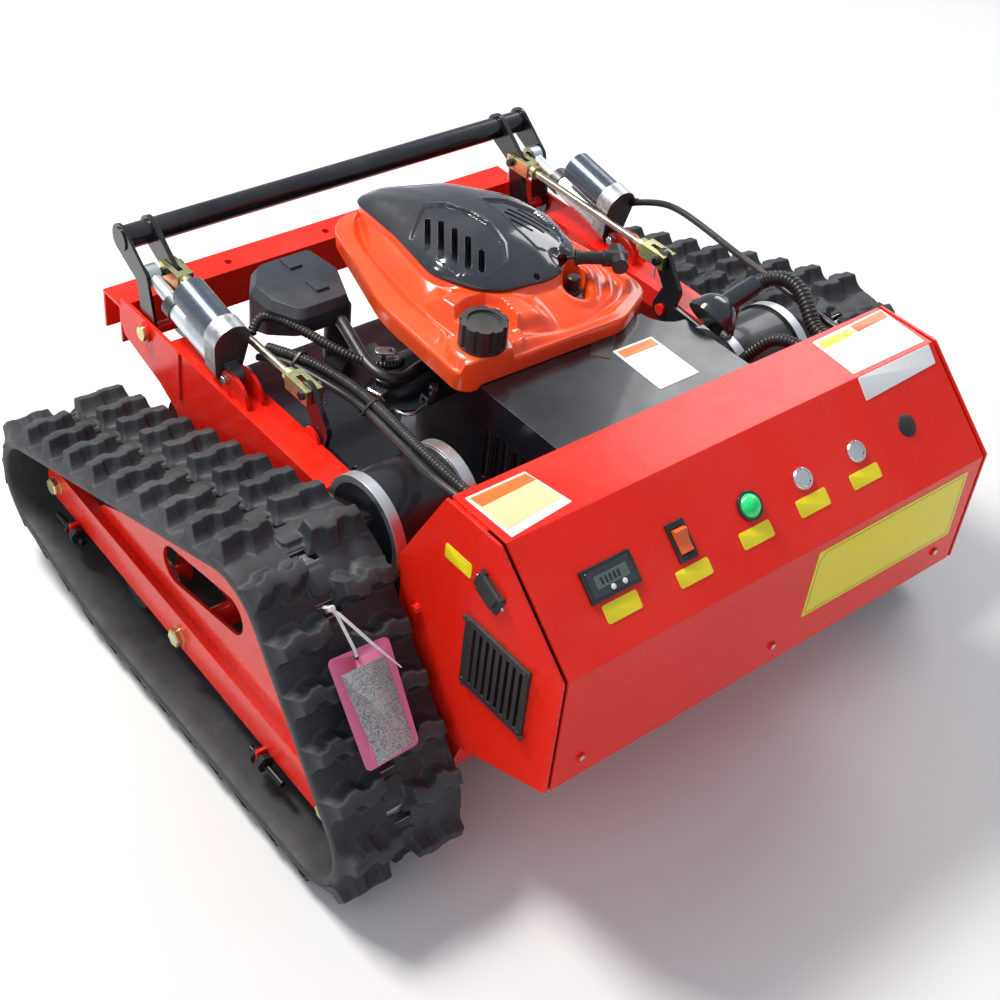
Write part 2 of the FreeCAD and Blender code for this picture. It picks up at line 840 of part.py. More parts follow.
def rocker():
    # Rocker with a hollow face, its lower end pressed in.
    top = Part.makeCylinder(rocker_face_r, rocker_hole_w, V(-rocker_hole_w / 2, 0, rocker_rim * 2 + rocker_face_r),
                            X_AXIS)
    body = local_box(rocker_hole_w, rocker_hole_h - rocker_gap * 4, -rocker_rim * 2, rocker_rim * 3)
    rounded = Part.makeCylinder(rocker_hole_h / 2 - rocker_gap, rocker_hole_w, V(-rocker_hole_w / 2, 0, 0), X_AXIS)
    shape = body.common(rounded).cut(top)
    shape = placed(shape, 0, 0, 0, X_AXIS, rocker_tilt)
    return on_panel(joined([shape]), rocker_x, fitting_line)


def fault_lamp():
    rim = rod_z(0, lamp_rim, 0, 0, lamp_r)
    body = rod_z(-button_body_d, tiny, 0, 0, lamp_hole_r)
    seat = rod_z(lamp_rim / 2, lamp_rim + over, 0, 0, lamp_lens_r)
    return on_panel(joined([rim, body]).cut(seat), lamp_x, fitting_line)


def lamp_lens():
    z0 = lamp_rim / 2
    big = (lamp_lens_r ** 2 + lamp_dome ** 2) / (2 * lamp_dome)
    ball = Part.makeSphere(big, V(0, 0, z0 + lamp_dome - big))
    lens = ball.common(rod_z(z0, z0 + lamp_dome + over, 0, 0, lamp_lens_r - fit))
    return on_panel(lens, lamp_x, fitting_line)


def button_ring():
    collar = Part.makeCone(button_ring_r, button_ring_r - button_ring_h / 2, button_ring_h)
    stem = rod_z(-button_body_d, tiny, 0, 0, button_hole_r)
    bore = rod_z(-button_len - button_stand, button_ring_h + over, 0, 0, button_r + fit * 2)
    stop = rod_z(-button_body_d - over, 0, 0, 0, button_stop_r)
    return joined([collar, stem]).cut([bore, stop])


def button_cap():
    cap = rod_z(-button_len + button_stand, button_ring_h + tiny, 0, 0, button_r)
    edge = cap.Edges
    crown = max(edge, key=lambda e: e.BoundBox.ZMin)
    return cap.makeChamfer(button_ring_h / 4, [crown])


def blanking_plug():
    r = (plug_r ** 2 + plug_h ** 2) / (2 * plug_h)
    cap = Part.makeSphere(r, V(0, 0, plug_h - r)).common(rod_z(0, plug_h + over, 0, 0, plug_r))
    stem = rod_z(-plug_stem_d, tiny, 0, 0, plug_stem_r)
    return on_panel(joined([cap, stem]), plug_x, fitting_line)


# Drive motor and final drive, one on each side
def drive_motor():
    x1 = web_face
    body = rod_x(motor_inner_x + motor_ring_w, x1 - motor_ring_w, motor_y, motor_z, motor_r)
    rings = [
        rod_x(motor_inner_x, motor_inner_x + motor_ring_w, motor_y, motor_z, motor_ring_r),
        rod_x(x1 - motor_ring_w, x1, motor_y, motor_z, motor_ring_r)]
    recess = rod_x(motor_inner_x - over, motor_inner_x + motor_recess, motor_y, motor_z, motor_face_r)
    boot_x = motor_inner_x + motor_recess - motor_boot_r - motor_boot_lift
    boot = rod_y(motor_y - motor_boot_r, motor_y + motor_boot_len - motor_boot_r, boot_x, motor_boot_z, motor_boot_r)
    neck = rod_x(boot_x, motor_inner_x + motor_ring_w, motor_y, motor_boot_z, motor_boot_r - sheet)
    motor = joined([body] + rings).cut(recess)
    case_x = x1 + gap
    case = link_x(sprocket_y, sprocket_z, drive_case_r, motor_y, motor_z, drive_pinion_r, case_x,
                  case_x + drive_case_t)
    plug = rod_x(x1 - over, case_x + over, motor_y, motor_z, drive_pinion_r - gap)
    shaft = rod_x(case_x + drive_case_t - over, outer_plate_x + plate_t - gap, sprocket_y, sprocket_z, shaft_r)
    return joined([motor, boot, neck, plug, case, shaft])


# Track loop: common tangents and arcs round the wheels
rear_idler_z = ground_to_pitch + idler_r
roller_pitch_r = roller_r + belt_half_t
roller_z = ground_to_pitch + roller_pitch_r
loop_wheels = [
    (front_idler_y, front_idler_z, idler_r), (sprocket_y, sprocket_z, pitch_r),
    (rear_idler_y, rear_idler_z, idler_r), (roller_first_y, roller_z, roller_pitch_r)]


def loop_normals():
    normals = []
    count = len(loop_wheels)
    for i in range(count):
        ya, za, ra = loop_wheels[i]
        yb, zb, rb = loop_wheels[(i + 1) % count]
        span = math.hypot(yb - ya, zb - za)
        dy = (yb - ya) / span
        dz = (zb - za) / span
        sn = (ra - rb) / span
        cs = math.sqrt(1 - sn * sn)
        normals.append((dz * cs + dy * sn, -dy * cs + dz * sn))
    return normals


def loop_spans():
    # Each span is an arc round one wheel, then the straight run to the next.
    normals = loop_normals()
    spans = []
    count = len(loop_wheels)
    for i in range(count):
        y, z, r = loop_wheels[i]
        n_in = normals[i - 1]
        n_out = normals[i]
        a0 = math.atan2(n_in[1], n_in[0])
        a1 = math.atan2(n_out[1], n_out[0])
        while a1 < a0:
            a1 += 2 * math.pi
        spans.append(("arc", y, z, r, a0, a1, r * (a1 - a0)))
        yb, zb, rb = loop_wheels[(i + 1) % count]
        p = (y + n_out[0] * r, z + n_out[1] * r)
        q = (yb + n_out[0] * rb, zb + n_out[1] * rb)
        spans.append(("line", p, q, n_out, 0, 0, math.hypot(q[0] - p[0], q[1] - p[1])))
    return spans


def loop_wire(offset, x):
    edges = []
    for span in loop_spans():
        if span[0] == "arc":
            y, z, r, a0, a1 = span[1:6]
            pts = [V(x, y + math.cos(a) * (r + offset), z + math.sin(a) * (r + offset))
                   for a in (a0, (a0 + a1) / 2, a1)]
            edges.append(Part.Arc(pts[0], pts[1], pts[2]).toShape())
        else:
            p, q, n = span[1:4]
            edges.append(Part.LineSegment(V(x, p[0] + n[0] * offset, p[1] + n[1] * offset),
                                          V(x, q[0] + n[0] * offset, q[1] + n[1] * offset)).toShape())
    return Part.Wire(edges)


def station(s):
    # Point and outward normal on the pitch line at distance s.
    spans = loop_spans()
    total = sum(span[-1] for span in spans)
    s = s % total
    for span in spans:
        if s <= span[-1]:
            if span[0] == "arc":
                a = span[4] + s / span[3]
                return (span[1] + math.cos(a) * span[3], span[2] + math.sin(a) * span[3],
                        math.cos(a), math.sin(a))
            p, q, n = span[1:4]
            k = s / span[-1]
            return (p[0] + (q[0] - p[0]) * k, p[1] + (q[1] - p[1]) * k, n[0], n[1])
        s -= span[-1]
    return (spans[0][1], spans[0][2], 1, 0)


loop_length = sum(span[-1] for span in loop_spans())
link_count = round(loop_length / pitch)
link_pitch = loop_length / link_count
arc_before = sum(span[-1] for span in loop_spans()[:2])
sprocket_arc = loop_spans()[2]
phase = arc_before + sprocket_arc[-1] / 2
tooth_angle = (sprocket_arc[4] + sprocket_arc[5]) / 2


def on_track(shape, s, x):
    y, z, ny, nz = station(s)
    angle = math.degrees(math.atan2(-ny, nz))
    return placed(shape, x, y + ny * belt_half_t, z + nz * belt_half_t, X_AXIS, angle)


def lug():
    # Tread block: waisted foot outline drawn in to a smaller crown.
    def ring(w, l, z):
        hw = w / 2
        hl = l / 2
        waist = hl * lug_waist_share
        pts = [V(-hw, -waist, z), V(-hw / 2, -hl, z), V(hw / 2, -hl, z), V(hw, -waist, z),
               V(hw, waist, z), V(hw / 2, hl, z), V(-hw / 2, hl, z), V(-hw, waist, z)]
        return Part.makePolygon(pts + [pts[0]])
    return loft([ring(lug_w, lug_len, -lug_foot), ring(lug_top_w, lug_top_len, lug_h)], True)


def track_belt():
    outer = Part.Face(loop_wire(belt_half_t, belt_in)).extrude(V(belt_w, 0, 0))
    inner = Part.Face(loop_wire(-belt_half_t, belt_in - over)).extrude(V(belt_w + over * 2, 0, 0))
    band = outer.cut(inner)
    block = lug()
    bridge = box(-belt_w / 2 + lug_w, belt_w / 2 - lug_w, -bridge_len / 2, bridge_len / 2, -lug_foot, bridge_h)
    slot = box(-drive_hole_w / 2, drive_hole_w / 2, -drive_hole_len / 2, drive_hole_len / 2, -belt_t - over, lug_h)
    lug_mid = belt_w / 2 - lug_edge - lug_w / 2
    adds = []
    cuts = []
    for i in range(link_count):
        s = phase + i * link_pitch
        adds.append(on_track(block, s + link_pitch / 4, belt_mid + lug_mid))
        adds.append(on_track(block, s + link_pitch * 3 / 4, belt_mid - lug_mid))
        adds.append(on_track(bridge, s + link_pitch / 2, belt_mid))
        cuts.append(on_track(slot, s, belt_mid))
    ground = box(belt_in - over, belt_out + over, rear_idler_y - pitch_r * 2, front_idler_y + pitch_r * 2, -over, 0)
    # The belt is one rigid loop, so a groove in its inner side lets the teeth pass behind the outer skin.
    reach = math.hypot(pitch_r + tooth_out, drive_hole_len * tooth_len_share ** 2 / 2) + tooth_play
    half = tooth_w / 2 + tooth_play
    groove = rod_x(belt_mid - half, belt_mid + half, sprocket_y, sprocket_z, reach)
    return band.fuse(adds).cut(cuts + [ground, groove])


def wheel(y, z, r, w, bore_r, holes):
    # Spool wheel: rim, web with lightening holes, hub with its bore.
    half = w / 2
    hub = wheel_hub_w / 2
    rim = r - wheel_rim_t
    web = wheel_web_t / 2
    pts = [V(-hub, bore_r, 0), V(hub, bore_r, 0), V(hub, wheel_hub_r, 0), V(web, wheel_hub_r, 0), V(web, rim, 0),
           V(half, rim, 0), V(half, r, 0), V(-half, r, 0), V(-half, rim, 0), V(-web, rim, 0),
           V(-web, wheel_hub_r, 0), V(-hub, wheel_hub_r, 0)]
    face = Part.Face(Part.makePolygon(pts + [pts[0]]))
    body = face.revolve(V(0, 0, 0), X_AXIS, 360)
    mid = (wheel_hub_r + rim) / 2
    cuts = []
    for i in range(holes):
        a = 2 * math.pi * i / holes
        cuts.append(rod_x(-web - over, web + over, mid * math.cos(a), mid * math.sin(a), wheel_hole_r))
    if cuts:
        body = body.cut(cuts)
    return placed(body, belt_mid, y, z, X_AXIS, 0)


def sprocket():
    inner_r = pitch_r - belt_half_t - gap
    body = wheel(sprocket_y, sprocket_z, inner_r, wheel_w, shaft_r + fit, wheel_holes)
    root = inner_r - wheel_rim_t / 2
    tip = pitch_r + tooth_out
    length = drive_hole_len * tooth_len_share
    ring = []
    for z, k in ((root, 1), (pitch_r, 1), (tip, tooth_len_share)):
        hw = tooth_w / 2 * k
        hl = length / 2 * k
        pts = [V(-hw, -hl, z), V(hw, -hl, z), V(hw, hl, z), V(-hw, hl, z)]
        ring.append(Part.makePolygon(pts + [pts[0]]))
    tooth = loft(ring, True)
    teeth = []
    for i in range(sprocket_teeth):
        a = tooth_angle + 2 * math.pi * i / sprocket_teeth
        teeth.append(placed(tooth, belt_mid, sprocket_y, sprocket_z, X_AXIS, math.degrees(a) - 90))
    return joined([body] + teeth)


def roller(i):
    y = roller_first_y - i * roller_pitch
    hub = roller_w / 2
    groove = wheel_web_t
    pts = [V(-hub, roller_axle_r + fit, 0), V(hub, roller_axle_r + fit, 0), V(hub, roller_r - gap, 0),
           V(groove * 2, roller_r - gap, 0), V(groove * 2, roller_r - groove, 0),
           V(-groove * 2, roller_r - groove, 0), V(-groove * 2, roller_r - gap, 0), V(-hub, roller_r - gap, 0)]
    face = Part.Face(Part.makePolygon(pts + [pts[0]]))
    return placed(face.revolve(V(0, 0, 0), X_AXIS, 360), belt_mid, y, roller_z, X_AXIS, 0)


def track_frame():
    fy, fz = front_idler_y, front_idler_z
    ry, rz = rear_idler_y, rear_idler_z
    beam = link_x(fy, fz, beam_half, ry, rz, beam_half, outer_plate_x, beam_x)
    hollow = link_x(fy, fz, beam_half - plate_t, ry, rz, beam_half - plate_t, outer_plate_x - over, beam_x - plate_t)
    beam = beam.cut(hollow)
    crown = [
        (fy - frame_nose_r, fz, frame_nose_r), (sprocket_y + crown_r, sprocket_z + crown_r, crown_r),
        (sprocket_y - crown_r, sprocket_z + crown_r, crown_r), (ry, rz, frame_nose_r)]
    x1 = outer_plate_x + plate_t
    plate = Part.Face(rounded_wire(crown, lambda u, v: V(outer_plate_x, u, v))).extrude(V(plate_t, 0, 0))
    slope = math.atan2(fz - rz, fy - ry)
    window = link_x(slot_y - slot_len / 2, slot_z + slot_slope / 2, slot_w / 2,
                    slot_y + slot_len / 2, slot_z - slot_slope / 2, slot_w / 2,
                    outer_plate_x - over, x1 + over)
    bearing = rod_x(outer_plate_x - over, x1 + over, sprocket_y, sprocket_z, shaft_r + fit)
    plate = plate.cut([window, bearing])
    x0 = inner_plate_x
    inner = Part.Face(rounded_wire(crown, lambda u, v: V(x0, u, v))).extrude(V(inner_plate_t, 0, 0))
    arms = []
    axles = []
    for i in range(roller_count):
        y = roller_first_y - i * roller_pitch
        top = rz + (y - ry) * math.tan(slope)
        arms.append(link_x(y, roller_z, roller_arm_r, y, top + crown_r, roller_arm_r, x0, x0 + inner_plate_t))
        axles.append(rod_x(x0, belt_mid + roller_w / 2, y, roller_z, roller_axle_r))
    arms.append(link_x(fy, fz, frame_nose_r, ry, rz, frame_nose_r, x0, x0 + inner_plate_t))
    inner = inner.fuse(arms)
    inner_hole = rod_x(x0 - over, x0 + inner_plate_t + over, sprocket_y, sprocket_z, shaft_r + run_gap)
    inner = inner.cut([window.translated(V(x0 - outer_plate_x, 0, 0)), inner_hole])
    shafts = [rod_x(web_face + gap, beam_x + bolt_h, fy, fz, axle_r),
              rod_x(web_face + gap, beam_x + bolt_h, ry, rz, axle_r),
              rod_x(web_face + gap, beam_x + bolt_h, cross_y, cross_z, axle_r),
              rod_x(web_face + gap, outer_plate_x + tiny, cross_y, cross_z, cross_r)]
    adjusters = []
    for y in (adjuster_front_y, adjuster_rear_y):
        z = rz + (y - ry) * math.tan(slope) - beam_half
        ear = box(outer_plate_x, outer_plate_x + adjuster_w, y, y + adjuster_t, z - adjuster_w / 2, z + over)
        adjusters.append(ear)
    return joined([beam, plate, inner] + axles + shafts + adjusters + tensioners())


def tensioners():
    slope = math.atan2(front_idler_z - rear_idler_z, front_idler_y - rear_idler_y)
    rods = []
    for y, way in ((adjuster_front_y, 1), (adjuster_rear_y, -1)):
        z = rear_idler_z + (y - rear_idler_y) * math.tan(slope) - beam_half - adjuster_r - over / 2
        x = beam_x + adjuster_r + run_gap / 2
        y0 = y - adjuster_len / 2 if way > 0 else y - adjuster_len
        rods.append(joined([rod_y(y0, y0 + adjuster_len * 3 / 2, x, z, adjuster_r - over / 2),
                            rod_y(y + adjuster_t + gap, y + adjuster_t + gap + adjuster_head_h / 2, x, z, adjuster_r),
                            rod_y(y - gap - adjuster_head_h, y - gap, x, z, adjuster_head_r - run_gap)]))
    return rods


# Lift linkage: black torque bar on four arms, levers that carry the deck, tie rods and rear cranks
def lift_arms():
    solids = [rod_x(-bar_len / 2, bar_len / 2, bar_y, bar_z, bar_r)]
    for s in (1, -1):
        x0 = arm_x
        x1 = arm_x + arm_t
        inner = [
            link_x(pivot_y, pivot_z, arm_root_r, arm_pin_y, arm_pin_z, arm_head_r, x0, x1),
            link_x(arm_pin_y, arm_pin_z, arm_head_r, bar_y, bar_z, arm_top_r, x0, x1),
            link_x(pivot_y, pivot_z, arm_root_r, pivot_y - lever_len, pivot_z, lever_r, x0, x1),
            rod_x(x0 - ear_gap - ear_t - arm_t / 2, x0 + tiny, pivot_y - lever_len, pivot_z, pin_r)]
        ox1 = outer_arm_x + arm_t - tiny
        outer = [
            link_x(pivot_y, pivot_z, arm_root_r, arm_pin_y, arm_pin_z, arm_head_r, outer_arm_x, ox1 - sheet),
            link_x(arm_pin_y, arm_pin_z, arm_head_r, bar_y, bar_z, arm_top_r, outer_arm_x, ox1 - sheet)]
        pin = rod_x(x0 - tie_pin_out, outer_arm_x + tiny, arm_pin_y, arm_pin_z, pin_r)
        cuts = [rod_x(x0 - over, side_face, pivot_y, pivot_z, pivot_pin_r + fit)]
        group = joined(inner).cut(cuts)
        far = joined(outer).cut(cuts)
        for shape in (group, far, pin):
            solids.append(shape if s > 0 else mirrored(shape))
    return joined(solids)


def rear_crank():
    py = arm_pin_y - crank_shift
    cy = pivot_y - crank_shift
    x0 = arm_x
    x1 = arm_x + arm_t
    mid_y = cy - crank_back / 2
    mid_z = (pivot_z + arm_pin_z) / 2
    parts = [
        link_x(cy, pivot_z, arm_root_r, mid_y, mid_z, crank_mid_r, x0, x1),
        link_x(mid_y, mid_z, crank_mid_r, py, arm_pin_z, arm_head_r, x0, x1),
        link_x(cy, pivot_z, arm_root_r, cy - lever_len, pivot_z, lever_r, x0, x1),
        rod_x(x0 - tie_pin_out, x1 + tie_pin_out - sheet, py, arm_pin_z, pin_r),
        rod_x(x0 - ear_gap - ear_t - arm_t / 2, x0 + tiny, cy - lever_len, pivot_z, pin_r)]
    bore = rod_x(x0 - over, x1 + over, cy, pivot_z, pivot_pin_r + fit)
    return joined(parts).cut(bore)


def tie_rod():
    # Threaded rod with a fork clevis and a lock nut at each end.
    y1 = arm_pin_y
    y0 = y1 - crank_shift
    parts = [rod_y(y0 + fork_reach, y1 - fork_reach, tie_x, arm_pin_z, tie_r)]
    cuts = []
    for y, way in ((y0, 1), (y1, -1)):
        a = y - way * fork_h / 2
        b = y + way * (fork_reach + over)
        parts.append(box(tie_x - fork_w / 2, tie_x + fork_w / 2, min(a, b), max(a, b),
                         arm_pin_z - fork_h / 2, arm_pin_z + fork_h / 2))
        n = y + way * (fork_reach + over)
        parts.append(rod_y(min(n, n + way * nut_h), max(n, n + way * nut_h), tie_x, arm_pin_z, nut_r))
        c = y - way * (fork_h + over)
        d = y + way * (fork_reach - over)
        cuts.append(box(tie_x - fork_slot / 2, tie_x + fork_slot / 2, min(c, d), max(c, d),
                        arm_pin_z - fork_h, arm_pin_z + fork_h))
        cuts.append(rod_x(tie_x - fork_w, tie_x + fork_w, y, arm_pin_z, pin_r + fit * 4))
    return joined(parts).cut(cuts)


act_dy = arm_pin_y - act_pin_y
act_dz = arm_pin_z - act_pin_z
act_len = math.hypot(act_dy, act_dz)
act_angle = math.degrees(math.atan2(act_dz, act_dy))


def on_actuator(shape):
    return placed(shape, act_x, act_pin_y, act_pin_z, X_AXIS, act_angle)


def actuator():
    tube = rod_y(act_tube_start, act_tube_end, 0, 0, act_tube_r)
    collar = rod_y(act_tube_end - act_collar_len, act_tube_end, 0, 0, act_collar_r)
    case = link_y(act_case_start, act_case_end, act_case_r)
    motor = rod_y(act_case_end - tiny, act_motor_end, 0, act_motor_up, act_motor_r)
    lug = link_x(0, 0, act_lug_r, act_case_start + over, 0, act_lug_r, -act_lug_t / 2, act_lug_t / 2)
    web = box(-act_lug_t / 4, act_lug_t / 4, act_case_end - tiny, act_tube_end - act_collar_len,
              act_tube_r - sheet, act_motor_up - act_motor_r + sheet)
    bore = rod_y(act_bore_end, act_tube_end + over, 0, 0, act_rod_bore)
    eye = rod_x(-act_lug_t, act_lug_t, 0, 0, pin_r + fit)
    body = joined([tube, collar, case, motor, lug, web]).cut([bore, eye])
    return on_actuator(body)


def link_y(y0, y1, r):
    # Gear case: the tangent hull round the screw tube and the motor.
    plate = link_x(0, 0, r - over, act_motor_up, 0, r, 0, y1 - y0)
    face_turn = FreeCAD.Placement(V(0, y0, 0), FreeCAD.Rotation(V(0, 1, 0), V(0, 0, 1), V(1, 0, 0), "ZXY"))
    copy = plate.copy()
    copy.Placement = face_turn
    return copy


def actuator_rod():
    rod = rod_y(act_rod_in, act_len - eye_r / 2, 0, 0, act_rod_r)
    eye = rod_x(-eye_w / 2, eye_w / 2, act_len, 0, eye_r)
    hole = rod_x(-eye_w, eye_w, act_len, 0, pin_r + eye_slack)
    return on_actuator(joined([rod, eye]).cut(hole))


# Cutting deck: pressed pan with raised front lip, slotted ears for the levers
def cutting_deck():
    def pan(grow, z):
        w = deck_half_w - grow
        l = deck_half_l - grow
        r = deck_r - grow
        corners = [(-w, deck_mid_y - l, r), (w, deck_mid_y - l, r), (w, deck_mid_y + l, r), (-w, deck_mid_y + l, r)]
        return Part.Face(rounded_wire(corners, lambda u, v: V(u, v, z)))
    outer = pan(0, deck_low).extrude(V(0, 0, deck_top - deck_low))
    inner = pan(deck_t, deck_low - over).extrude(V(0, 0, deck_top - deck_low + over - deck_t))
    mouth = box(-deck_half_w + deck_r, deck_half_w - deck_r, deck_mid_y, deck_mid_y + deck_half_l + over,
                deck_low - over, deck_low + deck_front_cut)
    shell = outer.cut([inner, mouth])
    hole = rod_z(deck_low, deck_top + over, block_x, block_y, spindle_hole_r)
    shell = shell.cut(hole)
    ears = []
    slots = []
    for base_y in (pivot_y - lever_len, pivot_y - crank_shift - lever_len):
        for s in (1, -1):
            x0 = arm_x - ear_gap - ear_t
            ear = link_x(base_y, pivot_z, ear_r, base_y, deck_top + ear_r / 2, ear_r * 2, x0, x0 + ear_t)
            ear = ear.common(box(x0 - over, x0 + ear_t + over, -half_length, half_length, deck_top - tiny, box_top))
            slot_r = pin_r + ear_play
            slot = link_x(base_y - ear_slot / 4, pivot_z, slot_r, base_y + ear_slot / 4, pivot_z, slot_r,
                          x0 - over, x0 + ear_t + over)
            ears.append(ear if s > 0 else mirrored(ear))
            slots.append(slot if s > 0 else mirrored(slot))
    return joined([shell] + ears).cut(slots)


def blade():
    bar = box(-blade_half, blade_half, -blade_w / 2, blade_w / 2, blade_z, blade_z + blade_t)
    wedge = Part.makePolygon([V(-blade_half - over, -blade_w / 2 - over, blade_z - over),
                              V(-blade_half - over, -blade_w / 2 + blade_w / 4, blade_z - over),
                              V(-blade_half - over, -blade_w / 2 - over, blade_z + blade_t * 2),
                              V(-blade_half - over, -blade_w / 2 - over, blade_z - over)])
    edge = Part.Face(wedge).extrude(V(blade_half, 0, 0))
    other = edge.copy()
    other.rotate(V(0, 0, 0), Z_AXIS, 180)
    bar = bar.cut([edge, other])
    parts = [bar, rod_z(blade_z + blade_t - tiny, blade_z + blade_t + blade_hub_h, 0, 0, blade_hub_r),
             rod_z(blade_z - nut_h, deck_top - gap, 0, 0, spindle_r)]
    fin = box(-blade_half, -blade_half + blade_half * fin_share, blade_w / 2 - blade_t, blade_w / 2,
              blade_z, blade_z + blade_w / 3)
    far = fin.copy()
    far.rotate(V(0, 0, 0), Z_AXIS, 180)
    whole = joined(parts + [fin, far])
    return whole.translated(V(block_x, block_y, 0))


def engine_block():
    foot = rod_z(deck_top, deck_top + block_foot_h, block_x, block_y, block_foot_r)
    case = rod_z(deck_top + block_foot_h - tiny, block_top, block_x, block_y, block_r)
    fan = Part.makeCone(block_r, fan_r, fan_h / 2, V(block_x, block_y, shroud_low - fan_h), Z_AXIS)
    fan_top = rod_z(shroud_low - fan_h / 2 - tiny, shroud_low, block_x, block_y, fan_r)
    y1 = block_y - block_r + over
    core = box(block_x - cyl_w / 2 + fin_t, block_x + cyl_w / 2 - fin_t, y1 - cyl_len, y1,
               cyl_low + fin_t, cyl_low + cyl_h - fin_t)
    parts = [foot, case, fan, fan_top, core]
    step = cyl_len / fin_count
    for i in range(fin_count):
        y = y1 - cyl_len + i * step
        parts.append(box(block_x - cyl_w / 2, block_x + cyl_w / 2, y, y + fin_t, cyl_low, cyl_low + cyl_h))
    base = joined(parts)
    return base


def dome_wire(shares, grow, z):
    return plan_wire(shares, dome_mid_x, dome_mid_y, dome_half_w, dome_half_l, dome_half_w, z, grow)


def on_grip_line(shape):
    return placed(shape, grip_start_x, grip_start_y, grip_z, Z_AXIS, grip_turn)


def engine_shroud():
    levels = [(shroud_low, shroud_low_share), (shroud_crease, 1), (shroud_land, shroud_land_share)]
    wires = []
    for z, share in levels:
        wires.append(plan_wire(shroud_plan_shares, shroud_mid_x, shroud_mid_y, shroud_half_w, shroud_half_l,
                               shroud_half_w, z, share))
    tray = loft(wires[:2], True).fuse(loft(wires[1:], True))
    # The skirt is cut away over the muffler guard, which passes below it.
    passage = box(-guard_half - run_gap, guard_half + run_gap, guard_back, guard_front_wall + run_gap,
                  shroud_low - over, guard_top + run_gap)
    tray = tray.cut(passage)
    brow = shroud_top - dome_brow_drop
    foot = loft([dome_wire(dome_foot_shares, 1, shroud_crease), dome_wire(dome_brow_shares, 1, brow)], True)
    crown = loft([dome_wire(dome_brow_shares, 1, brow), dome_wire(dome_rim_shares, dome_rim_share, shroud_top)], True)
    dome = foot.fuse(crown)
    recess = rod_z(cap_recess_z, shroud_top + over, tank_x, tank_y, cap_recess_r)
    tank = Part.makeCone(tank_r, tank_r - over, tank_top - shroud_crease, V(tank_x, tank_y, shroud_crease), Z_AXIS)
    tank = tank.common(Part.Face(wires[1]).extrude(V(0, 0, shroud_top)))
    well = rod_z(cap_well_z, cap_top, tank_x, tank_y, cap_well_r)
    hollow = on_grip_line(rod_z(shroud_land - grip_z, over, over, 0, grip_recess_r))
    guide = on_grip_line(Part.makeCylinder(grip_boss_r, grip_boss_r, V(-grip_boss_r - gap, 0, 0), X_AXIS))
    post = on_grip_line(box(-grip_boss_r - gap, -gap, -grip_root_r, grip_root_r, shroud_land - tiny - grip_z, 0))
    body = joined([tray, dome.cut([recess, hollow]), tank])
    return joined([body.cut(well), guide, post])


def shroud_cover():
    z0 = shroud_top + vent_gap
    rim = loft([dome_wire(dome_rim_shares, 1, z0), dome_wire(dome_rim_shares, 1, vent_rim)], True)
    brow = loft([dome_wire(dome_rim_shares, 1, vent_rim),
                 dome_wire(dome_rim_shares, vent_brow_share, vent_brow)], True)
    dome = loft([dome_wire(dome_rim_shares, vent_brow_share, vent_brow),
                 dome_wire(dome_rim_shares, vent_top_share, vent_top)], True)
    floor = vent_top - vent_slot_depth
    cuts = []
    for i in range(vent_slots):
        place = i - (vent_slots - 1) / 2
        u = place * vent_slot_pitch
        v = -place * vent_slot_skew
        half = vent_slot_len * vent_slot_lengths_share[i] / 2
        slot = box(u - vent_slot_w / 2, u + vent_slot_w / 2, v - half, v + half, floor, vent_top + over)
        cuts.append(placed(slot, vent_slot_x, vent_slot_y, 0, Z_AXIS, vent_slot_turn))
    for i in range(vent_slats):
        v = (i - (vent_slats - 1) / 2) * vent_slat_pitch
        slat = box(-vent_slat_len / 2, vent_slat_len / 2, v - vent_slat_w / 2, v + vent_slat_w / 2,
                   floor, vent_top + over)
        cuts.append(placed(slat, vent_slat_x, vent_slat_y, 0, Z_AXIS, vent_slat_turn))
    for reach in (grip_boss_r + gap, grip_recess_r):
        start = -grip_boss_r - gap * 2 if reach < grip_recess_r else over
        cuts.append(on_grip_line(Part.makeCylinder(reach, grip_neck_len, V(start, 0, 0), X_AXIS)))
    foot = box(-grip_boss_r - gap * 2, grip_neck_len, -grip_boss_r - gap, grip_boss_r + gap,
               shroud_top - grip_z - over, 0)
    cuts.append(on_grip_line(foot))
    return joined([rim, brow, dome]).cut(cuts)


def fuel_cap():
    z1 = cap_top
    z0 = z1 - cap_h
    body = rod_z(z0, z1, 0, 0, cap_r)
    notches = []
    for i in range(cap_notches):
        a = 2 * math.pi * i / cap_notches
        r = cap_r + cap_notch_r / 3
        notches.append(rod_z(z0 + sheet, z1 + over, r * math.cos(a), r * math.sin(a), cap_notch_r))
    body = body.cut(notches)
    dish = rod_z(z1 - sheet, z1 + over, 0, 0, cap_r - cap_notch_r * 2)
    return body.cut(dish).translated(V(tank_x, tank_y, 0))


def starter_grip():
    neck = Part.makeCylinder(grip_neck_r, grip_neck_len, V(0, 0, 0), X_AXIS)
    root = Part.makeCone(grip_root_r, grip_neck_r, grip_neck_len / 3, V(0, 0, 0), X_AXIS)
    end = grip_neck_len + grip_len
    body = Part.makeCylinder(grip_r, grip_len, V(grip_neck_len, 0, 0), X_AXIS)
    bar = Part.makeCylinder(grip_bar_r, grip_bar_w, V(end - grip_bar_r, -grip_bar_w / 2, 0), Y_AXIS)
    shape = joined([neck, root, body, bar])
    return placed(shape, grip_start_x, grip_start_y, grip_z, Z_AXIS, grip_turn)


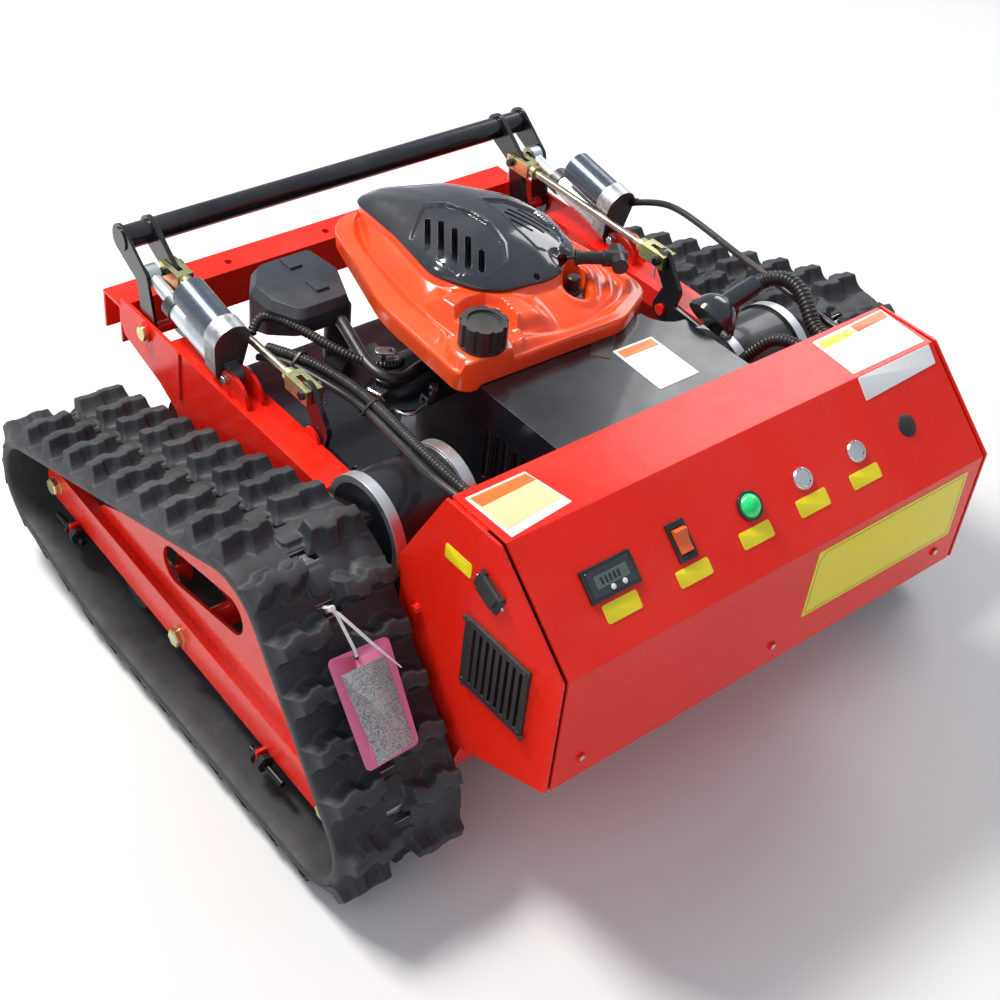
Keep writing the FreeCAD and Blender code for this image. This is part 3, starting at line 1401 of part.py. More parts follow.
def filter_part(shares, sign, width):
    wires = []
    for z, share in ((filter_low, 1), (filter_top - filter_crown, 1), (filter_top, filter_crown_share)):
        def place(u, v, z=z, share=share):
            return V(filter_seam + sign * (u * share), filter_rear_y + filter_l / 2 + (v - filter_l / 2) * share, z)
        corners = [(u * width, v * filter_l, r * width) for u, v, r in shares]
        wires.append(rounded_wire(corners, place))
    body = loft(wires[:2], True).fuse(loft(wires[1:], True)).removeSplitter()
    # The underside rises towards the near end.
    under = [(filter_rear_y + filter_l + over, filter_low - over), (filter_rear_y + filter_l, filter_low),
             (filter_rear_y, filter_low_near), (filter_rear_y - over, filter_low - over)]
    reach = filter_cover_w + over
    return body.cut(prism_x(under, filter_seam - reach, filter_seam + reach))


def air_filter_cover():
    cover = filter_part(filter_cover_shares, -1, filter_cover_w)
    clips = []
    for y in (clip_first_y, clip_second_y):
        clips.append(box(filter_seam - clip_w, filter_seam - tiny, y, y + clip_l,
                         filter_top - tiny, filter_top + clip_t))
    return joined([cover] + clips)


def air_filter_case():
    case = filter_part(filter_case_shares, 1, filter_case_w).translated(V(gap, 0, 0))
    duct_x = filter_seam + filter_case_w / 2 + gap
    duct_y = filter_rear_y + intake_r * 2
    duct = rod_y(carb_y + carb_l / 2 - tiny, duct_y, duct_x, carb_z, intake_r)
    bend = Part.makeSphere(intake_r, V(duct_x, duct_y, carb_z))
    riser = rod_z(carb_z, filter_low_near, duct_x, duct_y, intake_r)
    return joined([case, duct, bend, riser])


def carburettor():
    x0 = carb_x - carb_w
    body = box(x0, carb_x, carb_y - carb_l / 2, carb_y + carb_l / 2 - tiny, carb_z - carb_h / 2, carb_z + carb_h / 2)
    bowl = rod_z(carb_z - carb_h / 2 - bowl_h, carb_z - carb_h / 2 + tiny, carb_x - carb_w / 2, carb_y, bowl_r)
    reach = math.sqrt(block_r ** 2 - (carb_y - block_y) ** 2)
    neck = rod_x(carb_x - tiny, block_x - reach + tiny, carb_y, carb_z, intake_r)
    core = rod_z(deck_top, block_top, block_x, block_y, block_r)
    return joined([body, bowl, neck]).cut(core)


def muffler():
    corners = [(-muffler_half, muffler_back, muffler_r), (muffler_half, muffler_back, muffler_r),
               (muffler_half, muffler_front, muffler_r), (-muffler_half, muffler_front, muffler_r)]
    shell = Part.Face(rounded_wire(corners, lambda u, v: V(u, v, muffler_low)))
    shell = shell.extrude(V(0, 0, muffler_high - muffler_low))
    y1 = block_y - block_r + over - cyl_len
    pipe = rod_y(muffler_front - over, y1, block_x, cyl_low + cyl_h / 2 + exhaust_r, exhaust_r)
    return joined([shell, pipe])


def muffler_guard():
    g = guard_half
    t = guard_t
    top = box(-g, g, guard_back, guard_front_wall, guard_top - t, guard_top)
    notch = rod_z(guard_low, guard_top + over, g, guard_front_wall, guard_notch_r)
    left = box(-g, -g + t, guard_back, guard_front_wall, guard_low, guard_top - t)
    right = box(g - t, g, guard_back, guard_front_wall, guard_low, guard_top - t)
    slots = []
    for i in range(guard_louvres):
        y = guard_back + (i + 1) * guard_louvre_pitch
        slots.append(box(-g - over, g + over, y, y + guard_louvre_w, guard_louvre_low, guard_louvre_high))
    legs = []
    for s in (-1, 1):
        x0 = s * (g - t / 2) - t / 2
        legs.append(box(x0, x0 + t, guard_back, guard_back + over * 4, deck_top, guard_low + tiny))
    return joined([top, left, right] + legs).cut([notch] + slots)


def work_lamp():
    # Round lamp head with its lens side towards the engine, on an arm tube and a post.
    profile = [V(0, 0, -head_rim), V(head_r + head_rim / 2, 0, -head_rim), V(head_r + head_rim / 2, 0, head_rim / 2),
               V(head_r, 0, head_rim / 2)]
    edges = [Part.LineSegment(p, q).toShape() for p, q in zip(profile[:-1], profile[1:])]
    bend = V(head_r * math.cos(math.pi / 4), 0, head_rim / 2 + head_r * math.sin(math.pi / 4))
    top = V(0, 0, head_rim / 2 + head_r)
    edges.append(Part.Arc(profile[-1], bend, top).toShape())
    edges.append(Part.LineSegment(top, profile[0]).toShape())
    lamp = Part.Face(Part.Wire(edges)).revolve(V(0, 0, 0), Z_AXIS, 360)
    lamp = placed(lamp, head_x, head_y, head_z, Y_AXIS, 90 - head_lean)
    start = V(head_x + head_r / 2, head_y, head_z + head_arm_up / 2)
    end = V(*big_conduit_path[-1])
    arm = Part.makeCylinder(arm_tube_r, (end - start).Length - gap, start, end - start)
    post_x = motor_inner_x + tiny
    post_z = motor_z + motor_ring_r + gap
    post = box(post_x, post_x + post_w, head_y - post_w / 2, head_y + post_w / 2, post_z, head_z + head_arm_up / 2)
    return joined([lamp, arm, post])


# Cable routes: straight runs joined by tangent arcs as large as the runs allow
def route_wire(points):
    pts = [V(*p) for p in points]
    edges = []
    last = pts[0]
    radii = []
    for i in range(1, len(pts) - 1):
        a = pts[i - 1] - pts[i]
        b = pts[i + 1] - pts[i]
        run = min(a.Length, b.Length)
        turn = math.pi - a.getAngle(b)
        reach = run * bend_share
        a.normalize()
        b.normalize()
        radius = reach / math.tan(turn / 2)
        p = pts[i] + a * reach
        q = pts[i] + b * reach
        bis = a + b
        bis.normalize()
        m = pts[i] + bis * (radius / math.cos(turn / 2) - radius)
        if last.distanceToPoint(p) > tiny:
            edges.append(Part.LineSegment(last, p).toShape())
        edges.append(Part.Arc(p, m, q).toShape())
        last = q
        radii.append(radius)
    edges.append(Part.LineSegment(last, pts[-1]).toShape())
    return Part.Wire(edges), radii


def smooth_cable(name, points, r):
    wire, radii = route_wire(points)
    start = points[0]
    ahead = V(*points[1]) - V(*points[0])
    circle = Part.Wire(Part.Circle(V(*start), ahead, r).toShape())
    tube = Part.Wire(wire.Edges).makePipeShell([circle], True, True)
    volume = math.pi * r * r * wire.Length
    print(name, "radii", [round(k) for k in radii], "volume ratio", round(tube.Volume / volume, 4))
    return tube


def route_points(wire, step):
    count = max(2, int(round(wire.Length / step)))
    stations = []
    lengths = [edge.Length for edge in wire.Edges]
    total = sum(lengths)
    for i in range(count + 1):
        s = total * i / count
        k = 0
        while k < len(lengths) - 1 and s > lengths[k]:
            s -= lengths[k]
            k += 1
        edge = wire.Edges[k]
        par = edge.getParameterByLength(min(s, edge.Length))
        stations.append((edge.valueAt(par), edge.tangentAt(par)))
    return stations


def ring_at(point, tangent, r):
    side = X_AXIS - tangent * tangent.dot(X_AXIS)
    side.normalize()
    turn = FreeCAD.Rotation(side, tangent.cross(side), tangent, "ZXY")
    circle = Part.makeCircle(r)
    circle.Placement = FreeCAD.Placement(point, turn)
    return Part.Wire(circle)


def ribbed_hose(name, points, r, rib, wall):
    wire, radii = route_wire(points)
    stations = route_points(wire, rib / 4)
    outer = []
    for i, (p, t) in enumerate(stations):
        phase_i = i % 4
        outer.append(ring_at(p, t, r if phase_i < 2 else r - rib_depth))
    solid = loft(outer, True)
    inner = [ring_at(p, t, r - rib_depth - wall) for p, t in stations[::4]]
    print(name, "radii", [round(k) for k in radii], "ribs", len(stations) // 4)
    bore = loft(inner, True)
    return solid.cut(bore)


os.makedirs("parts", exist_ok=True)

save_both("frame_side", side_member())
save("front_crossbeam", crossbeam())
save("rear_crossmember", crossmember())
save("control_box", control_cover())
save("box_plates", Part.makeCompound([end_plate(), left_plate()]))
save("fan_grille", grille())
save("charging_inlet", charging_inlet())
save("charging_flap", charging_flap())
save("battery_meter", meter())
save("rocker_bezel", rocker_bezel())
save("stop_rocker", rocker())
save("fault_lamp", fault_lamp())
save("lamp_lens", lamp_lens())
save("button_rings", Part.makeCompound([on_panel(button_ring(), x, fitting_line) for x in (start_x, power_x)]))
save("start_button", on_panel(button_cap(), start_x, fitting_line))
save("power_button", on_panel(button_cap(), power_x, fitting_line))
save("blanking_plug", blanking_plug())
save_both("drive_motor", drive_motor())
save_both("track_frame", track_frame())
save_both("track_belt", track_belt())
save_both("sprocket", sprocket())
save_both("front_idler", wheel(front_idler_y, front_idler_z, idler_r - belt_half_t - gap, wheel_w, axle_r + fit,
                               wheel_holes))
save_both("rear_idler", wheel(rear_idler_y, rear_idler_z, idler_r - belt_half_t - gap, wheel_w, axle_r + fit,
                              wheel_holes))
for number in range(roller_count):
    save_both("roller_" + str(number + 1), roller(number))
save("lift_arms", lift_arms())
save_both("rear_crank", rear_crank())
save_both("tie_rod", tie_rod())
save_both("actuator", actuator())
save_both("actuator_rod", actuator_rod())
save("cutting_deck", cutting_deck())
save("blade", blade())
save("engine_block", engine_block())
save("engine_shroud", engine_shroud())
save("shroud_cover", shroud_cover())
save("fuel_cap", fuel_cap())
save("starter_grip", starter_grip())
save("air_filter_cover", air_filter_cover())
save("air_filter_case", air_filter_case())
save("carburettor", carburettor())
save("muffler", muffler())
save("muffler_guard", muffler_guard())
save("work_lamp", work_lamp())
upper = ribbed_hose("conduit_upper", big_conduit_path, conduit_r, conduit_rib, conduit_wall)
lower = ribbed_hose("conduit_lower", low_conduit_path, conduit_r - run_gap, conduit_rib, conduit_wall)
save("conduits", Part.makeCompound([upper, lower]))
save("loom_left", ribbed_hose("loom_left", loom_path, loom_r, loom_rib, loom_wall))
save("cable_left", smooth_cable("cable_left", left_cable_path, cable_r))
save("cable_right", smooth_cable("cable_right", right_cable_path, cable_r))
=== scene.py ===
import math
import random

import bpy
from mathutils import Matrix, Vector


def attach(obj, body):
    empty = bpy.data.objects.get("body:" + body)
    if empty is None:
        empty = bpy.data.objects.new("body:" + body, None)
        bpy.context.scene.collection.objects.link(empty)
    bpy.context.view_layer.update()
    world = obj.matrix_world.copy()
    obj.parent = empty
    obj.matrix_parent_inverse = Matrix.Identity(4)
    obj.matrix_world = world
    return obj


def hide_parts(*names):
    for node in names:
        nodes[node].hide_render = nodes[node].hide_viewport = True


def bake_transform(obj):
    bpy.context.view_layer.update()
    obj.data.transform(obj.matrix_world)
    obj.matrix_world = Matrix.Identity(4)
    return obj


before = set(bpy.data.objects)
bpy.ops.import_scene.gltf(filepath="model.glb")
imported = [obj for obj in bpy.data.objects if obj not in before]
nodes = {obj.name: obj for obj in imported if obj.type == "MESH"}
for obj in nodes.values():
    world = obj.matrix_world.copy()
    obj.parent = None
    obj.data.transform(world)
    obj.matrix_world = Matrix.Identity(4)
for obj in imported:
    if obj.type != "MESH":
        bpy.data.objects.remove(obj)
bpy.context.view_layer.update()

MM = 0.001
RIGHT_LEFT = (("right", 1), ("left", -1))

# Places that pieces and finishes share, in millimetres: (y, z) where a pair is given
AXLE_BOLTS = ((313.0, 119.0), (43.0, 97.0), (-236.0, 88.0))
BEAM_SLOPE = 0.05647
BEAM_FACE = 420.0
EAR_BOTTOM = 29.0
MOTOR_AXIS = (-107.0, 300.0)
LUG_PIN = (150.0, 322.0)
ACTUATOR_TURN = math.radians(10.1)
GRIP_FOOT = Vector((50.0, -4.0, 448.0))
GRIP_AXIS = Vector((0.822858, -0.555025, 0.121869))
GRIP_TURN = math.radians(-34.0)


# ---- Shader maths: a socket in an expression adds its Math nodes ----
class Value:
    def __init__(self, shop, socket):
        self.shop = shop
        self.socket = socket

    def math(self, operation, *others):
        return self.shop.node("ShaderNodeMath", {"operation": operation}, self, *others)

    def __add__(self, other):
        return self.math("ADD", other)

    def __sub__(self, other):
        return self.math("SUBTRACT", other)

    def __rsub__(self, other):
        return self.shop.node("ShaderNodeMath", {"operation": "SUBTRACT"}, other, self)

    def __mul__(self, other):
        return self.math("MULTIPLY", other)

    def __pow__(self, other):
        return self.math("POWER", other)

    def __lt__(self, other):
        return self.math("LESS_THAN", other)

    def __gt__(self, other):
        return self.math("GREATER_THAN", other)

    __radd__ = __add__
    __rmul__ = __mul__

    def clamp(self):
        return self.shop.node("ShaderNodeClamp", {}, self)

    def absolute(self):
        return self.math("ABSOLUTE")

    def most(self, other):
        return self.math("MAXIMUM", other)

    def least(self, other):
        return self.math("MINIMUM", other)


class Finish:
    """One material: node() takes a type, its settings and its inputs in order or by name."""

    def __init__(self, name, **surface):
        self.material = bpy.data.materials.new(name)
        self.material.use_nodes = True
        self.tree = self.material.node_tree
        self.surface = self.tree.nodes["Principled BSDF"]
        for key, value in surface.items():
            self.set(key.replace("_", " ").title().replace("Ior", "IOR"), value)
        self.place = self.node("ShaderNodeTexCoord", {}, output="Object")

    def put(self, socket, value):
        if isinstance(value, Value):
            self.tree.links.new(value.socket, socket)
        elif isinstance(value, tuple) and len(value) == 3 and socket.type == "RGBA":
            socket.default_value = (*value, 1.0)
        else:
            socket.default_value = value

    def set(self, name, value):
        self.put(self.surface.inputs[name], value)

    def node(self, kind, settings, *values, output=0, **named):
        item = self.tree.nodes.new(kind)
        for key, value in settings.items():
            if key == "stops":
                ramp = item.color_ramp
                for i, (at, color) in enumerate(value):
                    stop = ramp.elements[i] if i < 2 else ramp.elements.new(at)
                    stop.position = at
                    stop.color = (color, color, color, 1.0) if isinstance(color, float) else (*color, 1.0)
            else:
                setattr(item, key, value)
        for socket, value in zip(item.inputs, values):
            self.put(socket, value)
        for key, value in named.items():
            self.put(item.inputs[key.replace("_", " ")], value)
        return Value(self, item.outputs[output])

    def noise(self, scale, detail=3.0, rough=0.55, where=None, distortion=0.0):
        return self.node("ShaderNodeTexNoise", {}, Vector=where or self.place, Scale=scale, Detail=detail,
                         Roughness=rough, Distortion=distortion)

    def cells(self, scale, output=0):
        return self.node("ShaderNodeTexVoronoi", {}, Vector=self.place, Scale=scale, output=output)

    def axis(self, letter, where=None):
        return self.node("ShaderNodeSeparateXYZ", {}, where or self.place, output=letter)

    def stretched(self, scale):
        return self.node("ShaderNodeMapping", {}, self.place, Scale=scale)

    def ramp(self, value, low, high, a=0.0, b=1.0):
        return self.node("ShaderNodeMapRange", {}, value, low, high, a, b)

    def mix(self, amount, first, second):
        item = self.tree.nodes.new("ShaderNodeMix")
        item.data_type = "RGBA"
        self.put(item.inputs[0], amount)
        self.put(item.inputs[6], first)
        self.put(item.inputs[7], second)
        return Value(self, item.outputs[2])

    def bump(self, height, strength, distance, normal=None):
        """Fine relief, over the rounded edges' normal where that is given."""
        under = {"Normal": normal} if normal else {}
        self.set("Normal", self.node("ShaderNodeBump", {}, Strength=strength, Distance=distance, Height=height,
                                     **under))

    def edges(self, radius):
        """Where the surface turns sharply: the rounded normal leaves the true one."""
        bevel = self.node("ShaderNodeBevel", {"samples": 4}, radius)
        true = self.node("ShaderNodeNewGeometry", {}, output="Normal")
        along = self.node("ShaderNodeVectorMath", {"operation": "DOT_PRODUCT"}, bevel, true, output="Value")
        return self.ramp(along, 0.995, 0.90), bevel


# ---- Finishes ----
def dust_on(finish, color, rough, amount, tint=(0.30, 0.26, 0.20)):
    """Dry grass dust that gathers on faces that look up, and in broad patches."""
    up = finish.axis("Z", finish.node("ShaderNodeNewGeometry", {}, output="Normal"))
    patch = finish.ramp(finish.noise(9.0, 6.0, 0.65), 0.45, 0.75)
    mask = (patch * finish.ramp(up, 0.2, 1.0, 0.25, 1.0) * amount).clamp()
    finish.set("Base Color", finish.mix(mask, color, tint))
    finish.set("Roughness", rough + mask * 0.5)


def near_axis(finish, y, z, radius):
    """One inside a round bar along X, from its place in millimetres."""
    across = (finish.axis("Y") - y * MM) ** 2.0 + (finish.axis("Z") - z * MM) ** 2.0
    return across < (radius * MM) ** 2


def beyond(finish, x):
    return finish.axis("X").absolute() > x * MM


def plated_where(finish, mask, color, rough):
    """Turns a painted surface to bare or plated metal where the mask is one."""
    paint, sheen = (Value(finish, finish.surface.inputs[name].links[0].from_socket) for name in
                    ("Base Color", "Roughness"))
    finish.set("Base Color", finish.mix(mask, paint, color))
    finish.set("Roughness", sheen + mask * (rough - 0.25))
    finish.set("Metallic", mask)
    finish.set("Coat Weight", (1 - mask) * 0.3)


def red_sheet(name="red_sheet"):
    paint = Finish(name, coat_weight=0.14, coat_roughness=0.10, specular_ior_level=0.22)
    cloud = paint.noise(3.5, 4.0)
    color = paint.mix(paint.ramp(cloud, 0.35, 0.65), (0.80, 0.014, 0.005), (0.90, 0.020, 0.007))
    worn, normal = paint.edges(0.0012)
    chips = worn * paint.ramp(paint.noise(160.0, 3.0, 0.7), 0.56, 0.62)
    color = paint.mix(chips * 0.7, color, (0.30, 0.012, 0.008))
    rough = paint.ramp(paint.noise(60.0, 5.0, 0.7), 0.3, 0.7, 0.19, 0.30)
    dust_on(paint, color, rough, amount=0.10)
    peel = paint.noise(420.0, 2.0, 0.5)
    broad = paint.noise(26.0, 2.0, 0.5)
    paint.bump(peel + broad * 0.8, 0.10, 0.0004, normal)
    return paint


def red_track_frame():
    """Red beam with yellow plated axle bolts and black tensioning screws below it."""
    paint = red_sheet("red_track_frame")
    y, z = paint.axis("Y"), paint.axis("Z")
    end_y, end_z = AXLE_BOLTS[-1]
    line = (y - end_y * MM) * BEAM_SLOPE + end_z * MM
    ears = (y - 0.264).absolute().least((y + 0.126).absolute()) > 0.0023
    screws = beyond(paint, 416.5) * (z < line - 0.0224) * ears
    heads = [near_axis(paint, *bolt, 12.0) for bolt in AXLE_BOLTS]
    bolts = heads[0].most(heads[1]).most(heads[2]) * beyond(paint, BEAM_FACE + 0.05)
    plating = paint.mix(screws, (0.72, 0.50, 0.18), (0.035, 0.034, 0.036))
    plated_where(paint, screws.most(bolts), plating, 0.34)
    return paint.material


def silver_ringed_motor():
    """Black drive motor with a turned ring at each end."""
    paint = black_enamel("drive_motor_black", 0.30)
    far = paint.axis("X").absolute()
    rings = (far > 0.1899) * (far < 0.2032) + (far > 0.2848) * (far < 0.2982)
    rings = rings * (1 - near_axis(paint, *MOTOR_AXIS, 50.0)) * near_axis(paint, *MOTOR_AXIS, 60.0)
    plated_where(paint, rings, (0.68, 0.69, 0.71), 0.30)
    return paint.material


def actuator_metal():
    """Satin tube, dark painted motor, cast gear case and a grey end face, told apart by their place on its axis."""
    metal = Finish("actuator_metal")
    y, z = metal.axis("Y") - LUG_PIN[0] * MM, metal.axis("Z") - LUG_PIN[1] * MM
    cos, sin = math.cos(ACTUATOR_TURN), math.sin(ACTUATOR_TURN)
    along = y * cos + z * sin
    height = z * cos - y * sin
    case = (along > 0.0117) * (along < 0.0342)
    face = along < 0.0124
    motor = (height > 0.0172) * (along > 0.0341)
    collar = (along > 0.1129) * (height < 0.0165)
    blotch = metal.ramp(metal.noise(40.0, 5.0, 0.65), 0.35, 0.7)
    color = metal.mix(blotch, (0.74, 0.80, 0.84), (0.86, 0.90, 0.93))
    color = metal.mix(motor, color, metal.mix(blotch, (0.075, 0.095, 0.120), (0.105, 0.130, 0.160)))
    cast = metal.mix(metal.ramp(metal.noise(150.0, 6.0, 0.7), 0.4, 0.7), (0.42, 0.43, 0.44), (0.74, 0.75, 0.76))
    color = metal.mix(case, color, cast)
    color = metal.mix(face.most(collar), color, (0.10, 0.10, 0.108))
    worn, normal = metal.edges(0.0008)
    metal.set("Base Color", metal.mix(worn * 0.3, color, (0.75, 0.76, 0.77)))
    metal.set("Metallic", 0.75 + case * 0.25 - motor * 0.3 - face * 0.25)
    metal.set("Roughness", metal.ramp(metal.noise(90.0), 0.3, 0.7, 0.36, 0.48) - motor * 0.14)
    lines = metal.noise(420.0, 3.0, 0.6, where=metal.stretched((1, 0.15, 1)))
    metal.bump(lines, 0.10, 0.0003, normal)
    return metal.material


def zinc_tints(metal):
    """The yellow, copper and green of chromated zinc."""
    shimmer = metal.noise(55.0, 4.0, 0.6, distortion=1.2)
    stops = ((0.30, (0.80, 0.60, 0.22)), (0.70, (0.72, 0.44, 0.14)), (0.52, (0.62, 0.66, 0.38)))
    return metal.node("ShaderNodeValToRGB", {"stops": stops}, shimmer)


def tie_rod_steel():
    """Dull drawn rod between yellow plated forks."""
    metal = Finish("tie_rod_steel", metallic=1.0)
    y = metal.axis("Y")
    rod = (y > 0.098) * (y < 0.276)
    drawn = metal.mix(metal.ramp(metal.noise(30.0, 5.0), 0.35, 0.7), (0.34, 0.29, 0.24), (0.52, 0.47, 0.41))
    metal.set("Base Color", metal.mix(rod, zinc_tints(metal), drawn))
    metal.set("Roughness", metal.ramp(metal.noise(160.0), 0.3, 0.7, 0.26, 0.40))
    metal.set("Normal", metal.edges(0.0008)[1])
    return metal.material


def black_enamel(name="black_enamel", rough=0.16):
    paint = Finish(name, coat_weight=0.3, coat_roughness=0.05)
    smear = paint.ramp(paint.noise(22.0, 6.0, 0.65), 0.35, 0.7, rough, rough + 0.14)
    color = paint.mix(paint.ramp(paint.noise(5.0), 0.4, 0.7), (0.005, 0.006, 0.009), (0.010, 0.012, 0.017))
    worn, normal = paint.edges(0.001)
    scratch = worn * paint.ramp(paint.noise(200.0, 3.0, 0.7), 0.60, 0.66)
    color = paint.mix(scratch * 0.6, color, (0.20, 0.19, 0.18))
    dust_on(paint, color, smear, amount=0.12, tint=(0.20, 0.18, 0.15))
    paint.bump(paint.noise(300.0, 2.0), 0.08, 0.0004, normal)
    return paint


def gloss_plastic(name, low, high, rough=0.12, coat=0.6):
    skin = Finish(name, coat_weight=coat, coat_roughness=0.03)
    color = skin.mix(skin.ramp(skin.noise(4.0), 0.4, 0.65), low, high)
    dust_on(skin, color, skin.ramp(skin.noise(40.0, 5.0, 0.7), 0.3, 0.7, rough, rough + 0.1), amount=0.10)
    skin.bump(skin.noise(60.0, 1.0), 0.02, 0.0004, skin.edges(0.0015)[1])
    return skin.material


def grained_plastic(name, dark=(0.012, 0.012, 0.013), light=(0.028, 0.028, 0.030), rough=0.42, grain=900.0):
    skin = Finish(name, specular_ior_level=0.5)
    color = skin.mix(skin.ramp(skin.noise(7.0, 5.0, 0.6), 0.35, 0.7), dark, light)
    worn, normal = skin.edges(0.0012)
    color = skin.mix(worn * 0.35, color, (0.07, 0.07, 0.072))
    dust_on(skin, color, skin.ramp(skin.noise(35.0, 5.0, 0.65), 0.3, 0.7, rough - 0.05, rough + 0.12), amount=0.22)
    skin.bump(skin.cells(grain), 0.16, 0.0003, normal)
    return skin.material


def track_rubber():
    rubber = Finish("track_rubber", specular_ior_level=0.42)
    color = rubber.mix(rubber.ramp(rubber.noise(14.0, 6.0, 0.65), 0.35, 0.7), (0.020, 0.021, 0.024),
                       (0.046, 0.048, 0.053))
    worn, normal = rubber.edges(0.003)
    color = rubber.mix(worn * 0.45, color, (0.090, 0.093, 0.10))
    mud = rubber.ramp(rubber.noise(24.0, 8.0, 0.72, distortion=0.6), 0.60, 0.74)
    color = rubber.mix(mud * 0.40, color, (0.16, 0.14, 0.11))
    dust_on(rubber, color, rubber.ramp(rubber.noise(50.0, 5.0, 0.7), 0.3, 0.7, 0.46, 0.66), amount=0.25,
            tint=(0.15, 0.15, 0.15))
    rubber.bump(rubber.noise(650.0, 4.0, 0.7) + rubber.cells(180.0) * 0.35, 0.30, 0.0006, normal)
    return rubber.material


def bare_metal(name, low, high, rough, strength, fine, dirt):
    metal = Finish(name, metallic=1.0)
    color = metal.mix(metal.ramp(metal.noise(12.0, 5.0, 0.6), 0.35, 0.7), low, high)
    lines = metal.noise(fine, 3.0, 0.6)
    stain = metal.ramp(metal.noise(30.0, 6.0, 0.7), 0.55, 0.8) * dirt
    metal.set("Base Color", metal.mix(stain, color, (0.08, 0.07, 0.06)))
    metal.set("Roughness", metal.ramp(lines, 0.25, 0.75, rough - 0.07, rough + 0.10) + stain)
    metal.bump(lines, strength, 0.0003, metal.edges(0.0008)[1])
    return metal.material


def yellow_zinc():
    metal = Finish("yellow_zinc", metallic=1.0)
    metal.set("Base Color", zinc_tints(metal))
    metal.set("Roughness", metal.ramp(metal.noise(160.0), 0.3, 0.7, 0.22, 0.36))
    metal.set("Normal", metal.edges(0.0008)[1])
    return metal.material


def sticker(name, color, rough=0.34):
    film = Finish(name, coat_weight=0.2, coat_roughness=0.2)
    dirt = film.ramp(film.noise(45.0, 6.0, 0.7), 0.55, 0.8) * 0.12
    film.set("Base Color", film.mix(dirt, color, tuple(c * 0.55 for c in color)))
    film.set("Roughness", film.ramp(film.noise(120.0, 3.0), 0.3, 0.7, rough, rough + 0.12))
    film.bump(film.noise(70.0, 2.0), 0.06, 0.0005)
    return film.material


def speckled_silver():
    """Crushed foil under a clear film."""
    foil = Finish("speckled_silver", coat_weight=0.5, coat_roughness=0.12)
    grain = foil.axis("X", where=foil.cells(900.0, output="Color"))
    color = foil.mix(foil.ramp(grain, 0.15, 0.95), (0.16, 0.19, 0.20), (0.62, 0.68, 0.68))
    color = foil.mix(foil.ramp(foil.noise(60.0, 4.0), 0.5, 0.75) * 0.5, color, (0.55, 0.54, 0.44))
    foil.set("Base Color", color)
    foil.set("Metallic", foil.ramp(grain, 0.3, 0.9, 0.2, 0.8))
    foil.set("Roughness", foil.ramp(grain, 0.0, 1.0, 0.5, 0.25))
    foil.bump(grain, 0.2, 0.0004)
    return foil.material


def lamp_glass():
    glass = Finish("lamp_glass", roughness=0.10, coat_weight=0.6, emission_strength=0.25)
    ribs = glass.node("ShaderNodeTexWave", {"wave_type": "BANDS", "bands_direction": "X"}, Vector=glass.place,
                      Scale=420.0)
    color = glass.mix(glass.ramp(glass.noise(60.0), 0.35, 0.65), (0.0, 0.50, 0.10), (0.01, 0.80, 0.22))
    glass.set("Base Color", color)
    glass.set("Emission Color", color)
    glass.bump(ribs, 0.25, 0.0004)
    return glass.material


RED = red_sheet().material
TRACK_FRAME_RED = red_track_frame()
BLACK = black_enamel().material
BLACK_SATIN = black_enamel("black_satin", 0.30).material
MOTOR_BLACK = silver_ringed_motor()
SHROUD_RED = gloss_plastic("shroud_red", (0.84, 0.066, 0.010), (0.93, 0.095, 0.015), 0.18, 0.25)
COVER_BLACK = gloss_plastic("cover_black", (0.014, 0.017, 0.024), (0.024, 0.029, 0.039), 0.10)
FILTER = grained_plastic("filter_plastic", (0.020, 0.024, 0.033), (0.034, 0.040, 0.052), 0.38, 1100.0)
PLASTIC = grained_plastic("black_plastic")
FINE_PLASTIC = grained_plastic("fine_black_plastic", (0.009, 0.009, 0.010), (0.018, 0.018, 0.020), 0.33, 1500.0)
SHEATH = grained_plastic("cable_sheath", (0.010, 0.010, 0.011), (0.020, 0.020, 0.022), 0.30, 2400.0)
RUBBER = track_rubber()
STEEL = bare_metal("ground_steel", (0.42, 0.42, 0.43), (0.56, 0.56, 0.57), 0.32, 0.10, 700.0, 0.3)
ALLOY = bare_metal("cast_alloy", (0.16, 0.16, 0.17), (0.27, 0.27, 0.28), 0.48, 0.45, 260.0, 0.4)
ACTUATOR = actuator_metal()
TIE_ROD = tie_rod_steel()
SATIN = bare_metal("satin_rod", (0.62, 0.66, 0.66), (0.74, 0.78, 0.78), 0.38, 0.08, 500.0, 0.15)
SILVER = bare_metal("silver_gearbox", (0.66, 0.67, 0.69), (0.80, 0.81, 0.83), 0.27, 0.10, 600.0, 0.15)
ZINC = bare_metal("blue_zinc", (0.50, 0.54, 0.60), (0.66, 0.70, 0.76), 0.24, 0.08, 500.0, 0.2)
WHITE_ZINC = bare_metal("white_zinc", (0.72, 0.74, 0.76), (0.84, 0.86, 0.88), 0.30, 0.08, 500.0, 0.1)
SCORCHED = bare_metal("scorched_steel", (0.22, 0.20, 0.18), (0.36, 0.33, 0.30), 0.45, 0.30, 240.0, 0.6)
YELLOW_ZINC = yellow_zinc()
GREEN = lamp_glass()
ORANGE = gloss_plastic("rocker_orange", (0.80, 0.10, 0.012), (0.92, 0.16, 0.02), 0.22, 0.3)
YELLOW = sticker("yellow_plate", (0.88, 0.72, 0.008))
WHITE = sticker("white_plate", (0.80, 0.80, 0.79))
CREAM = sticker("cream_plate", (0.80, 0.66, 0.34))
BAND = sticker("orange_band", (0.78, 0.16, 0.015))
DISPLAY = sticker("meter_display_grey", (0.10, 0.13, 0.12), 0.16)
TAG_PINK = sticker("tag_pink", (0.66, 0.16, 0.31), 0.40)
STRAP = sticker("white_strap", (0.78, 0.78, 0.80), 0.30)
